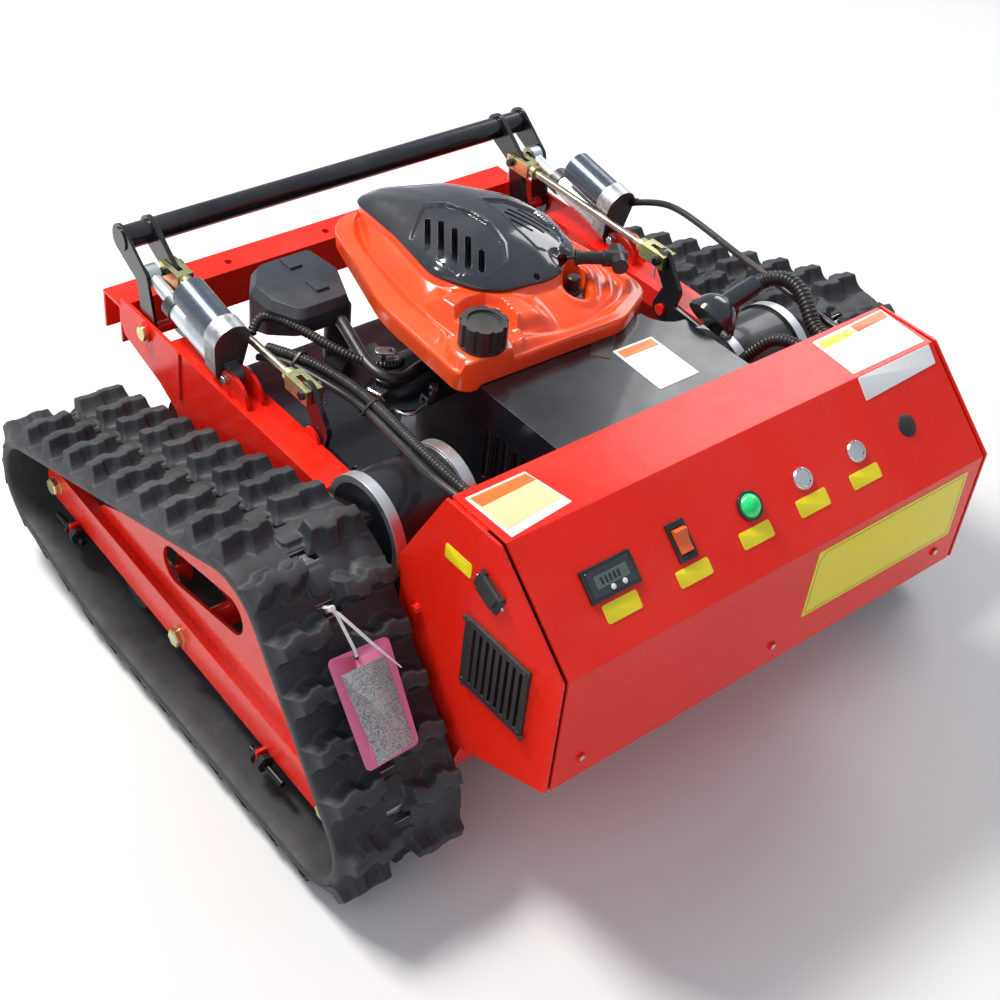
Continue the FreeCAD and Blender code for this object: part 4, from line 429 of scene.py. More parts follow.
TAG_SILVER = speckled_silver()

node_finish = {
    "frame_side": RED, "front_crossbeam": RED, "rear_crossmember": RED, "control_box": RED, "box_plates": RED,
    "fan_grille": PLASTIC, "charging_inlet": PLASTIC, "charging_flap": PLASTIC, "battery_meter": FINE_PLASTIC,
    "rocker_bezel": FINE_PLASTIC, "stop_rocker": ORANGE, "fault_lamp": COVER_BLACK, "lamp_lens": GREEN,
    "button_rings": SILVER, "start_button": SILVER, "power_button": SILVER, "blanking_plug": PLASTIC,
    "drive_motor": MOTOR_BLACK, "track_frame": TRACK_FRAME_RED, "track_belt": RUBBER, "sprocket": STEEL,
    "front_idler": STEEL, "rear_idler": STEEL, "roller_1": STEEL, "roller_2": STEEL, "lift_arms": BLACK,
    "rear_crank": BLACK,
    "tie_rod": TIE_ROD, "actuator": ACTUATOR, "actuator_rod": SATIN, "cutting_deck": BLACK, "blade": STEEL,
    "engine_block": ALLOY, "engine_shroud": SHROUD_RED, "shroud_cover": COVER_BLACK, "fuel_cap": FINE_PLASTIC,
    "starter_grip": FINE_PLASTIC, "air_filter_cover": FILTER, "air_filter_case": FILTER, "carburettor": ALLOY,
    "muffler": SCORCHED, "muffler_guard": BLACK, "work_lamp": COVER_BLACK, "conduits": SHEATH, "loom_left": SHEATH,
    "cable_left": SHEATH, "cable_right": SHEATH}


def coat(piece, finish):
    piece.data.materials.clear()
    piece.data.materials.append(finish)


for name, piece in nodes.items():
    key = name
    for side, _ in RIGHT_LEFT:
        key = key.removesuffix("_" + side) if key not in node_finish else key
    coat(piece, node_finish[key])


# ---- Building helpers ----
def clear():
    if bpy.context.mode != "OBJECT":
        bpy.ops.object.mode_set(mode="OBJECT")
    bpy.ops.object.select_all(action="DESELECT")


def choose(piece):
    clear()
    piece.select_set(True)
    bpy.context.view_layer.objects.active = piece


def settle(piece):
    choose(piece)
    bpy.ops.object.transform_apply(location=True, rotation=True, scale=True)
    return piece


def modify(piece, kind, **settings):
    choose(piece)
    item = piece.modifiers.new(kind.lower(), kind)
    for key, value in settings.items():
        setattr(item, key, value)
    bpy.ops.object.modifier_apply(modifier=item.name)
    return piece


def cut(piece, tool):
    """Takes the tool's shape out of a piece and the tool out of the scene."""
    modify(piece, "BOOLEAN", operation="DIFFERENCE", solver="EXACT", object=tool)
    bpy.data.objects.remove(tool)
    return piece


def smooth(piece, degrees):
    choose(piece)
    bpy.ops.object.shade_smooth_by_angle(angle=math.radians(degrees))
    return piece


def finished(piece, name, body, finish, replaced=()):
    piece.name = name
    piece.data.name = name
    coat(piece, finish)
    if body:
        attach(piece, body)
    if replaced:
        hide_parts(*replaced)
    return piece


def from_faces(name, points, faces):
    mesh = bpy.data.meshes.new(name)
    mesh.from_pydata(points, [], faces)
    mesh.update()
    piece = bpy.data.objects.new(name, mesh)
    bpy.context.scene.collection.objects.link(piece)
    return piece


def joined(pieces):
    clear()
    for piece in pieces:
        piece.select_set(True)
    bpy.context.view_layer.objects.active = pieces[0]
    if len(pieces) > 1:
        bpy.ops.object.join()
    return pieces[0]


# ---- Plan shapes, in millimetres ----
def ease(value, low, high):
    t = min(max((value - low) / (high - low), 0.0), 1.0)
    return t * t * (3 - 2 * t)


def from_line(point, start, end):
    """Distance from a point to a straight piece of line."""
    run = end - start
    t = min(max((point - start).dot(run) / run.length_squared, 0.0), 1.0)
    return (point - start - run * t).length


def depth_inside(point, outline):
    """How deep a point lies inside a rounded outline, below zero outside it."""
    near = 1e9
    inside = False
    for i, (bx, by) in enumerate(outline):
        ax, ay = outline[i - 1]
        near = min(near, from_line(point, Vector((ax, ay)), Vector((bx, by))))
        if (ay > point.y) != (by > point.y) and point.x < (bx - ax) * (point.y - ay) / (by - ay) + ax:
            inside = not inside
    return near if inside else -near


# ---- Solids from rings, and pieces modelled flat and set on a face ----
def loft_rings(name, rings, cap_first=True, cap_last=True):
    points = [tuple(c * MM for c in p) for ring in rings for p in ring]
    size = len(rings[0])
    faces = []
    for row in range(len(rings) - 1):
        for k in range(size):
            k2 = (k + 1) % size
            a, b = row * size, (row + 1) * size
            faces.append((a + k, b + k, b + k2, a + k2))
    if cap_first:
        faces.append(tuple(range(size)))
    if cap_last:
        faces.append(tuple(reversed(range((len(rings) - 1) * size, len(rings) * size))))
    return from_faces(name, points, faces)


def outward(piece):
    choose(piece)
    bpy.ops.object.mode_set(mode="EDIT")
    bpy.ops.mesh.select_all(action="SELECT")
    bpy.ops.mesh.remove_doubles(threshold=0.00001)
    bpy.ops.mesh.normals_make_consistent(inside=False)
    bpy.ops.object.mode_set(mode="OBJECT")
    return piece


class Face:
    """A flat place on the machine: a point on it, two directions along it and the one out of it."""

    def __init__(self, origin, across, up):
        self.origin = Vector(origin)
        self.across = Vector(across).normalized()
        self.up = Vector(up).normalized()
        self.out = self.across.cross(self.up)

    def at(self, u, v, h=0.0):
        return tuple(self.origin + self.across * u + self.up * v + self.out * h)

    def take(self, piece, u=0.0, v=0.0, turn=0.0):
        """Moves a piece modelled flat at the origin onto the face."""
        pose = Matrix((self.across, self.up, self.out)).transposed().to_4x4()
        pose.translation = Vector(self.at(u, v)) * MM
        piece.matrix_world = pose @ Matrix.Rotation(turn, 4, "Z")
        return settle(piece)


TOP_FACE = Face((0.0, 0.0, 430.0), (1, 0, 0), (0, 1, 0))
SLANT_FACE = Face((0.0, -307.0, 430.0), (1, 0, 0), (0, 0.7487, 0.6629))
FRONT_FACE = Face((0.0, -406.5, 0.0), (1, 0, 0), (0, 0, 1))
LEFT_FACE = Face((-300.0, 0.0, 0.0), (0, -1, 0), (0, 0, 1))
GUARD_FACE = Face((0.0, 0.0, 394.0), (1, 0, 0), (0, 1, 0))
FILM = ((0.0, 0.0), (0.45, 0.0), (0.6, 0.2))


def rise(height):
    bpy.ops.mesh.extrude_region_move(TRANSFORM_OT_translate={"value": (0, 0, height * MM)})


def slab(name, face, corners, radius, levels):
    """A thin solid on a face: levels give its height out of the face and how far its outline draws in there."""
    clear()
    bpy.ops.mesh.primitive_circle_add(vertices=len(corners), fill_type="NGON")
    piece = bpy.context.active_object
    piece.name = name
    for vertex, (u, v) in zip(piece.data.vertices, corners):
        vertex.co = (u * MM, v * MM, levels[0][0] * MM)
    spans = [max(c[k] for c in corners) - min(c[k] for c in corners) for k in (0, 1)]
    bpy.ops.object.mode_set(mode="EDIT")
    bpy.ops.mesh.select_all(action="SELECT")
    bpy.ops.mesh.bevel(offset=radius * MM, segments=6, affect="VERTICES")
    bpy.ops.mesh.select_all(action="SELECT")
    before, drawn = levels[0][0], 0.0
    for height, inset in levels:
        if height > before:
            rise(height - before)
        if inset != drawn:
            bpy.ops.transform.resize(value=(*((span - 2 * inset) / (span - 2 * drawn) for span in spans), 1))
        before, drawn = height, inset
    bpy.ops.object.mode_set(mode="OBJECT")
    return smooth(outward(face.take(piece)), 30.0)


def oblong(x, y, width, height):
    return [(x - width / 2, y - height / 2), (x + width / 2, y - height / 2), (x + width / 2, y + height / 2),
            (x - width / 2, y + height / 2)]


def plate(name, face, corners, finish, radius=2.5, lift=0.0, body="chassis"):
    piece = slab(name, face, corners, radius, [(h + lift, d) for h, d in FILM])
    return finished(piece, name, body, finish)


def turned(name, face, u, v, levels, sides=40, turn=0.0):
    """A disc drawn up through levels that each give a height out of the face and a radius."""
    clear()
    bpy.ops.mesh.primitive_circle_add(vertices=sides, radius=levels[0][1] * MM, fill_type="NGON",
                                      location=(0, 0, levels[0][0] * MM))
    piece = settle(bpy.context.active_object)
    piece.name = name
    bpy.ops.object.mode_set(mode="EDIT")
    bpy.ops.mesh.select_all(action="SELECT")
    for (low, before), (high, radius) in zip(levels, levels[1:]):
        rise(high - low)
        bpy.ops.transform.resize(value=(radius / before, radius / before, 1))
    bpy.ops.object.mode_set(mode="OBJECT")
    return smooth(outward(face.take(piece, u, v, turn)), 30.0)


def hex_bolt(name, face, u, v, across, height, finish, body, washer=True, turn=0.3):
    """Hex head with a chamfered top, with a washer under it."""
    lift = 1.2 if washer else 0.0
    corner = across / math.sqrt(3)
    levels = ((lift, corner), (lift + height * 0.8, corner), (lift + height, corner * 0.88))
    parts = [turned(name, face, u, v, levels, 6, turn)]
    if washer:
        r = across * 0.62
        parts.append(turned(name, face, u, v, ((0.0, r), (lift * 0.8, r), (lift, r - 0.3)), 28))
    return finished(smooth(joined(parts), 25.0), name, body, finish)


def pan_screw(name, face, u, v, radius, finish, body="chassis"):
    """Low round head."""
    levels = ((0.0, radius), (radius * 0.25, radius), (radius * 0.5, radius * 0.8), (radius * 0.62, radius * 0.4))
    return finished(turned(name, face, u, v, levels, 24), name, body, finish)


# ---- Cables, corrugated tubes and stiff wires; each route is drawn near its solid where it has one ----
BIG_CONDUIT = ((234, -218, 402), (234, -200, 402), (242, -178, 418), (250, -156, 427), (250, -134, 428),
               (238.4, -115.8, 420.8), (226, -115, 417))
LOW_CONDUIT = ((200, -218, 400), (200, -200, 400), (190, -180, 396), (181, -166, 376), (180, -154, 352),
               (182.6, -136, 332), (182.6, -116.3, 332))
LEFT_LOOM = ((-240, 150, 344), (-228, 112, 352), (-215, 60, 354), (-216, 2, 362), (-224, -40, 370), (-232, -98, 375),
             (-238, -156, 379), (-238, -218, 380))
LEFT_CABLE = ((-252, 150, 336), (-241, 124, 345), (-234, 92, 348), (-225, 36, 351), (-227, -8, 359), (-234, -46, 366),
              (-243, -98, 373), (-253, -150, 380), (-255, -188, 386), (-254, -218, 388))
RIGHT_CABLE = ((298, 150, 366), (300, 118, 383), (300, 82, 392), (294, 30, 394), (284, -24, 396), (274, -80, 400),
               (266, -132, 402), (260, -180, 402), (260, -218, 402))
ENGINE_LOOM = ((-241, 180, 344), (-228, 190, 356), (-216, 176, 362), (-203, 140, 360), (-186, 92, 353), (-163, 62, 345),
               (-140, 57, 339), (-119, 68, 332), (-114, 96, 318), (-116, 106, 298))
BREATHER_HOSE = ((-150, 150, 356), (-155, 128, 354), (-161, 100, 350), (-169, 66, 346), (-165, 38, 343),
                 (-144, 32, 339), (-112, 44, 336), (-64, 56, 336))


GLAND = ((300.5, 172, 360.5, 7.6), (299.6, 166, 361.5, 7.2), (298.6, 156, 364.2, 5.8), (298.2, 146, 368.6, 4.6))


def route_line(name, route, radius=0.0, fine=16):
    curve = bpy.data.curves.new(name, "CURVE")
    curve.dimensions = "3D"
    spline = curve.splines.new("NURBS")
    spline.points.add(len(route) - 1)
    for point, place in zip(spline.points, route):
        point.co = (*(c * MM for c in place), 1.0)
    spline.order_u = 3
    spline.use_endpoint_u = True
    spline.resolution_u = fine
    curve.bevel_depth = radius * MM
    curve.bevel_resolution = 6
    curve.use_fill_caps = True
    piece = bpy.data.objects.new(name, curve)
    bpy.context.scene.collection.objects.link(piece)
    return piece


def line_points(route, fine):
    """The points of the smooth line along a route."""
    line = route_line("line", route, fine=fine)
    bpy.context.view_layer.update()
    mesh = bpy.data.meshes.new_from_object(line)
    points = [v.co.copy() for v in mesh.vertices]
    bpy.data.objects.remove(line)
    return points


def run_length(points):
    return sum((b - a).length for a, b in zip(points, points[1:]))


def cord(piece, name, points, radius, replaced=(), body="chassis", **extra):
    finished(piece, name, body, SHEATH, replaced)
    round(run_length(points), 3)
    radius * 2 * MM
    return piece


def smooth_cable(name, route, radius, replaced=(), **extra):
    points = line_points(route, 16)
    return cord(route_line(name, route, radius), name, points, radius, replaced, **extra)


def tube_along(name, points, width, sides, first=(0, 0, 1)):
    """A round tube through points in millimetres; width gives its radius from the distance walked along it."""
    across = Vector(first)
    rings = []
    walked = 0.0
    for i, point in enumerate(points):
        along = (points[min(i + 1, len(points) - 1)] - points[max(i - 1, 0)]).normalized()
        across = (across - along * across.dot(along)).normalized()
        side = along.cross(across)
        if i:
            walked += (point - points[i - 1]).length
        turns = [2 * math.pi * k / sides for k in range(sides)]
        rings.append([point + (across * math.cos(a) + side * math.sin(a)) * width(walked) for a in turns])
    return smooth(outward(loft_rings(name, rings)), 60.0)


def wire(name, places, radius, finish, body="chassis", sides=10):
    """A short stiff rod bent through its places."""
    piece = tube_along(name, [Vector(p) for p in places], lambda walked: radius, sides, (0.3, 0.2, 1))
    return finished(piece, name, body, finish)


def corrugated(name, route, radius, pitch, depth, fine, replaced=(), sides=18, body="chassis"):
    """Tube with round ribs: each ring of it sits on a point of its smooth line."""
    points = line_points(route, fine)

    def width(walked):
        return radius - depth * max(math.cos(2 * math.pi * walked / pitch), 0.0) ** 0.8

    piece = tube_along(name, [p / MM for p in points], width, sides)
    return cord(piece, name, points, radius, replaced, body=body, path=[tuple(p) for p in points])


def cable_tie(name, first, second, along, tail):
    """A narrow band drawn round two cables, each given by its centre and radius, with its lock and cut end."""
    along = Vector(along).normalized()
    (a, ra), (b, rb) = ((Vector(c), r) for c, r in (first, second))
    reach = (b - a) - along * (b - a).dot(along)
    across = reach.normalized()
    up = along.cross(across)
    outline = []
    for k in range(40):
        way = Vector((math.cos(2 * math.pi * k / 40), math.sin(2 * math.pi * k / 40)))
        outline.append(max(ra, rb + way.x * reach.length))
    points = []
    for k in range(40):
        turn = 2 * math.pi * k / 40
        after = (outline[(k + 1) % 40] - outline[k - 1]) / (4 * math.pi / 40)
        r = outline[k]
        points.append(a + across * (math.cos(turn) * r - math.sin(turn) * after) +
                      up * (math.sin(turn) * r + math.cos(turn) * after))
    hub = a + across * (reach.length / 2)
    rings = []
    for shift, grow in ((-1.8, 0.3), (-1.8, 1.3), (1.8, 1.3), (1.8, 0.3), (-1.8, 0.3)):
        rings.append([p + (p - hub).normalized() * grow + along * shift for p in points])
    band = outward(loft_rings(name, rings, False, False))
    lock = hub + up * (max(ra, rb) + 2.4)
    place = Face(lock - along * 2.6, across, up)
    parts = [band, slab(name + "_lock", place, oblong(0, 0, 6.0, 4.6), 0.8, ((0, 0.3), (0.3, 0), (4.9, 0), (5.2, 0.3)))]
    place = Face(lock - along * 0.6, across, up)
    parts.append(slab(name + "_tail", place, [(0, 0), (2.2, 0), (3.2 + tail[0], tail[1]), (tail[0], tail[1])], 0.3,
                      ((0, 0), (1.2, 0))))
    return finished(smooth(joined(parts), 30.0), name, "chassis", FINE_PLASTIC)


def cables():
    corrugated("conduit_to_lamp", BIG_CONDUIT, 9.0, 5.0, 1.5, 30, ["conduits"], 24)
    corrugated("conduit_low", LOW_CONDUIT, 7.0, 4.4, 1.3, 34, ["conduits"], 22)
    corrugated("loom_to_box", LEFT_LOOM, 6.0, 4.4, 1.3, 72, ["loom_left"])
    loom = corrugated("loom_to_engine", ENGINE_LOOM, 5.5, 4.2, 1.2, 54, body=None)
    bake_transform(loom)
    smooth_cable("left_motor_cable", LEFT_CABLE, 4.0, ["cable_left"])
    rings = []
    for x, y, z, r in GLAND:
        turns = [2 * math.pi * k / 24 for k in range(24)]
        rings.append([(x + r * math.cos(a), y + 0.25 * r * math.sin(a), z + 0.97 * r * math.sin(a)) for a in turns])
    gland = smooth(outward(loft_rings("cable_gland", rings)), 50.0)
    finished(gland, "cable_gland", "chassis", FINE_PLASTIC)
    smooth_cable("right_motor_cable", RIGHT_CABLE, 4.0, ["cable_right"], with_pieces=[gland])
    smooth_cable("breather_hose", BREATHER_HOSE, 7.0, body="mower_unit")
    cable_tie("cable_tie_rear", ((-226, 106, 352.6), 6.2), ((-237.2, 106, 346.8), 4.2), (0.2, -1, 0.05), (9.0, -12.0))
    cable_tie("cable_tie_front", ((-219.6, -18, 365.6), 6.2), ((-229, -18, 361), 4.2), (-0.15, -1, 0.17), (12.0, -12.0))


# ---- Rubber tracks ----
HALF_BELT = 6.0
TREAD_PITCH = 54.0
TEETH_RADIUS = 8 * TREAD_PITCH / (2 * math.pi)
IDLER_RADIUS = 62.0
TRACK_WHEELS = ((*AXLE_BOLTS[0], IDLER_RADIUS), (-106.0, 252.0, TEETH_RADIUS), (*AXLE_BOLTS[2], IDLER_RADIUS),
                (170.0, 56.0, 30.0))
BELT_MIDDLE = 380.0
BELT_DEPTH = 12.0
HOLE_HALF = (13.0, 8.5)


def track_spans():
    """The pitch line round the wheels, as arcs and straight runs with their lengths."""
    spans = []
    count = len(TRACK_WHEELS)
    normals = []
    for i, (y, z, r) in enumerate(TRACK_WHEELS):
        y2, z2, r2 = TRACK_WHEELS[(i + 1) % count]
        run = math.hypot(y2 - y, z2 - z)
        dy, dz = (y2 - y) / run, (z2 - z) / run
        lean = (r - r2) / run
        square = math.sqrt(1 - lean * lean)
        normals.append((dz * square + dy * lean, -dy * square + dz * lean))
    for i, (y, z, r) in enumerate(TRACK_WHEELS):
        first = math.atan2(normals[i - 1][1], normals[i - 1][0])
        last = math.atan2(normals[i][1], normals[i][0])
        while last < first:
            last += 2 * math.pi
        spans.append(("arc", (y, z, r, first), r * (last - first)))
        y2, z2, r2 = TRACK_WHEELS[(i + 1) % count]
        ny, nz = normals[i]
        start = (y + ny * r, z + nz * r)
        end = (y2 + ny * r2, z2 + nz * r2)
        spans.append(("run", (start, end, (ny, nz)), math.hypot(end[0] - start[0], end[1] - start[1])))
    return spans


SPANS = track_spans()
TRACK_LENGTH = sum(span[2] for span in SPANS)
LINKS = round(TRACK_LENGTH / TREAD_PITCH)
LINK = TRACK_LENGTH / LINKS
FIRST_HOLE = SPANS[0][2] + SPANS[1][2] + SPANS[2][2] / 2


def on_pitch_line(s):
    s %= TRACK_LENGTH
    for kind, data, length in SPANS:
        if s <= length:
            break
        s -= length
    if kind == "arc":
        y, z, r, first = data
        angle = first + s / r
        return y + math.cos(angle) * r, z + math.sin(angle) * r, math.cos(angle), math.sin(angle)
    start, end, (ny, nz) = data
    k = s / length
    return start[0] + (end[0] - start[0]) * k, start[1] + (end[1] - start[1]) * k, ny, nz


def on_belt(u, s, h, sign, centre=None):
    """A point across the belt at u, along it at s and h above its tread face; a lug stays rigid about its centre."""
    y, z, ny, nz = on_pitch_line(s)
    point = Vector((y + ny * (HALF_BELT + h), z + nz * (HALF_BELT + h)))
    if centre is not None:
        y, z, ny, nz = on_pitch_line(centre)
        along = s - centre
        rigid = Vector((y + ny * (HALF_BELT + h) - nz * along, z + nz * (HALF_BELT + h) + ny * along))
        point = point.lerp(rigid, min(max(h / 8.0, 0.0), 1.0))
    return (sign * (BELT_MIDDLE + u) * MM, point[0] * MM, max(point[1], 0.0) * MM)


def belt_band(sign):
    """The endless band with its drive holes, and a UV layer that marks its inner face."""
    hole_u, hole_s = HOLE_HALF
    top = (-72.0, -56.0, -38.0, -20.0, -hole_u, 0.0, hole_u, 20.0, 38.0, 56.0, 72.0)
    section = [(-74.2, -0.9)] + [(u, 0.0) for u in top] + [(74.2, -0.9), (75.0, -3.2), (75.0, -9.4), (73.6, -11.4)]
    section += [(u, -BELT_DEPTH) for u in reversed(top)] + [(-73.6, -11.4), (-75.0, -9.4), (-75.0, -3.2)]
    rest = LINK - hole_s * 2
    steps = [-hole_s, 0.0] + [hole_s + rest * k / 9 for k in range(9)]
    points, faces = [], []
    size = len(section)
    for i in range(LINKS):
        for step in steps:
            s = FIRST_HOLE + i * LINK + step
            points += [on_belt(u, s, h, sign) for u, h in section]
    rows = LINKS * len(steps)
    for row in range(rows):
        after = (row + 1) % rows
        open_row = row % len(steps) < 2
        for k in range(size):
            k2 = (k + 1) % size
            u1, u2 = section[k][0], section[k2][0]
            flat = abs(section[k][1] - section[k2][1]) < 0.1
            if open_row and flat and max(abs(u1), abs(u2)) <= hole_u:
                continue
            faces.append((row * size + k, row * size + k2, after * size + k2, after * size + k))
    upper = {u: 1 + top.index(u) for u in (-hole_u, 0.0, hole_u)}
    lower = {u: size - 4 - top.index(u) for u in upper}
    for i in range(LINKS):
        r0 = i * len(steps)
        r1, r2 = r0 + 1, (r0 + 2) % rows
        walls = [(r0, -hole_u, r0, 0.0), (r0, 0.0, r0, hole_u), (r0, hole_u, r1, hole_u), (r1, hole_u, r2, hole_u),
                 (r2, hole_u, r2, 0.0), (r2, 0.0, r2, -hole_u), (r2, -hole_u, r1, -hole_u), (r1, -hole_u, r0, -hole_u)]
        for ra, ua, rb, ub in walls:
            faces.append((ra * size + upper[ua], rb * size + upper[ub], rb * size + lower[ub], ra * size + lower[ua]))
    piece = from_faces("belt_band", points, faces)
    layer = piece.data.uv_layers.new(name="along")
    for loop in piece.data.loops:
        row, k = divmod(loop.vertex_index, size)
        inner = section[k][1] < -11.0
        along = row // len(steps) + (steps[row % len(steps)] + hole_s) / LINK
        layer.data[loop.index].uv = (1.0 if inner else 0.0, along)
    return piece


LUG_CROWN = (
    (-27.0, 6.5), (-18.0, 7.5), (-13.5, 12.0), (-4.0, 12.5), (1.0, 6.0), (11.0, 5.5), (16.0, 10.0), (27.0, 10.5),
    (27.5, -3.5), (17.5, -4.5), (13.0, -9.5), (2.5, -10.0), (-2.5, -4.0), (-13.0, -3.5), (-18.0, -8.5), (-27.5, -9.0))
LUG_LEVELS = ((20.0, -1.6), (19.2, -0.3), (17.0, 0.3), (11.0, 1.3), (6.0, 2.6), (2.5, 4.6), (0.6, 6.8), (-2.0, 8.6))


def spread(outline, distance):
    """An outline moved outwards by a distance, with its corners kept."""
    result = []
    count = len(outline)
    for i, (x, y) in enumerate(outline):
        ax, ay = outline[i - 1]
        bx, by = outline[(i + 1) % count]
        n1 = Vector((-(y - ay), x - ax)).normalized()
        n2 = Vector((-(by - y), bx - x)).normalized()
        n = (n1 + n2).normalized()
        reach = distance / max(n.dot(n1), 0.75)
        result.append((x + n.x * reach, y + n.y * reach))
    return result


def belt_lugs(sign, rand):
    """Staggered zig-zag blocks with hollow flanks, in two rows, with a low pad between the drive holes."""
    points, faces = [], []

    def block(outline, levels, u0, s0, turn, wobble):
        base = len(points)
        count = len(outline)
        jitter = [(rand.uniform(-wobble, wobble), rand.uniform(-wobble, wobble)) for _ in outline]
        for h, out in levels:
            ring = spread(outline, out)
            share = min(max(h / 10.0, 0.0), 1.0)
            for (u, v), (ju, jv) in zip(ring, jitter):
                points.append(on_belt(u0 + turn * (u + ju * share), s0 + (v + jv * share), h, sign, s0))
        for level in range(len(levels) - 1):
            for k in range(count):
                k2 = (k + 1) % count
                a, b = base + level * count, base + (level + 1) * count
                faces.append((a + k, a + k2, b + k2, b + k))
        half = count // 2
        for k in range(half - 1):
            faces.append((base + k, base + count - 1 - k, base + count - 2 - k, base + k + 1))

    pad = [(-13.0, 9.0), (-9.0, 12.5), (9.0, 12.5), (13.0, 9.0), (13.0, -9.0), (9.0, -12.5), (-9.0, -12.5),
           (-13.0, -9.0)]
    pad_levels = ((4.2, -2.2), (3.8, -0.6), (2.0, 0.0), (-1.0, 0.8))
    for i in range(LINKS):
        s = FIRST_HOLE + i * LINK
        block(LUG_CROWN, LUG_LEVELS, 40.0, s + LINK / 4, 1, 0.7)
        block(LUG_CROWN, LUG_LEVELS, -40.0, s + LINK * 3 / 4, -1, 0.7)
        block(pad, pad_levels, 0.0, s + LINK / 2, 1, 0.0)
    return from_faces("belt_lugs", points, faces)


IRON_SECTION = ((-12.4, -11.0), (12.4, -11.0), (12.4, -1.2), (-12.4, -1.2))
BLOCK_FACES = ((0, 1, 2, 3), (7, 6, 5, 4), (0, 4, 5, 1), (1, 5, 6, 2), (2, 6, 7, 3), (3, 7, 4, 0))


def track(side, sign):
    """One belt: its band and lugs, with a steel iron at each end of each drive hole."""
    band = belt_band(sign)
    lugs = belt_lugs(sign, random.Random(7))
    for piece in (band, lugs):
        choose(piece)
        bpy.ops.object.mode_set(mode="EDIT")
        bpy.ops.mesh.select_all(action="SELECT")
        bpy.ops.mesh.normals_make_consistent(inside=False)
        bpy.ops.object.mode_set(mode="OBJECT")
    smooth(band, 40.0)
    smooth(lugs, 38.0)
    belt = joined([band, lugs])
    finished(belt, "rubber_track_" + side, "chassis", RUBBER, ["track_belt_" + side])
    irons = []
    for i in range(LINKS):
        for end in (-1, 1):
            s = FIRST_HOLE + i * LINK + end * (HOLE_HALF[1] - 0.7)
            points = [on_belt(u, s + e, h, sign) for e in (-0.65, 0.65) for u, h in IRON_SECTION]
            irons.append(from_faces("iron", points, BLOCK_FACES))
    finished(joined(irons), "track_irons_" + side, "chassis", STEEL)


for side, sign in RIGHT_LEFT:
    track(side, sign)


# ---- Engine shroud: one height over its plan, from the cover's edge out to the skirt ----
DOME_MIDDLE = (-3.0, 108.0)
DOME_HALVES = (94.0, 124.0)
TRAY_MIDDLE = (-21.0, 77.5)
TRAY_HALVES = (139.0, 162.5)
TRAY_PLAN = (
    (-0.568, 1, 0.26), (-0.942, -0.046, 1.4), (-1, -0.963, 0.13), (0.568, -1, 0.36), (0.986, -0.82, 0.22),
    (1, -0.415, 0.43), (0.87, 0.385, 0.58), (0.44, 0.975, 0.43))
FOOT_PLAN = (
    (-0.7, 1.02, 0.18), (-1.05, 0.48, 0.8), (-1.25, -0.45, 0.6), (-1.2, -1.38, 0.4), (0.3, -1.44, 0.6),
    (1.12, -1.25, 0.4), (1.22, -0.7, 0.5), (1.08, 0.22, 0.6), (0.5, 0.95, 0.6), (-0.1, 1.02, 0.5))
COVER_PLAN = (
    (-0.8, 0.95, 0.17), (-0.84, 0.33, 1.2), (-1, -0.4, 0.5), (-0.67, -0.9, 0.62), (0.18, -1, 0.62),
    (0.8, -0.76, 0.52), (1, -0.22, 0.62), (0.9, 0.26, 0.62), (0.35, 0.78, 0.62), (-0.4, 1, 0.3))
TANK = Vector((-120.0, -58.0))
TANK_BACK = Vector((-104.0, -40.0))
COVER_WAY = Vector((0.56, 0.83))
GRIP_START = GRIP_FOOT.xy
GRIP_WAY = Vector((math.cos(GRIP_TURN), math.sin(GRIP_TURN)))
COVER_EDGE = 437.6
DOME_FOOT = 411.6
CAP_SHOULDER = 436.2
TANK_CORNER = 424.0
WELL_FLOOR = 409.0
SHROUD_LOW = 390.4
GUARD_PASSAGE = (-136.0, -65.0, 395.2)
WAYS = [(math.cos(2 * math.pi * k / 360), math.sin(2 * math.pi * k / 360)) for k in range(360)]


def plan_line(plan, middle, halves, grow=1.0):
    """A closed outline with rounded corners, as dense points."""
    corners = [(Vector((u * halves[0], v * halves[1])) * grow, r * halves[0] * grow) for u, v, r in plan]
    points = []
    for i, (corner, radius) in enumerate(corners):
        back = (corners[i - 1][0] - corner).normalized()
        ahead = (corners[(i + 1) % len(corners)][0] - corner).normalized()
        half = back.angle(ahead) / 2
        reach = radius / math.tan(half)
        hub = corner + (back + ahead).normalized() * (radius / math.sin(half))
        start, end = corner + back * reach - hub, corner + ahead * reach - hub
        sweep = start.angle_signed(end)
        for k in range(13):
            cos, sin = math.cos(-sweep * k / 12), math.sin(-sweep * k / 12)
            spoke = Vector((start.x * cos - start.y * sin, start.x * sin + start.y * cos))
            points.append(hub + spoke + Vector(middle))
    return points


def reaches(line, hub):
    """How far the outline lies from a hub, in each of the directions round it."""
    hub = Vector(hub)
    result = []
    for way in map(Vector, WAYS):
        best = 0.0
        for i, p in enumerate(line):
            q = line[i - 1]
            edge = q - p
            across = way.x * edge.y - way.y * edge.x
            if abs(across) < 1e-9:
                continue
            to = p - hub
            far = (to.x * edge.y - to.y * edge.x) / across
            along = (to.x * way.y - to.y * way.x) / across
            if far > 0 and -1e-6 <= along <= 1 + 1e-6:
                best = max(best, far)
        result.append(best)
    return result


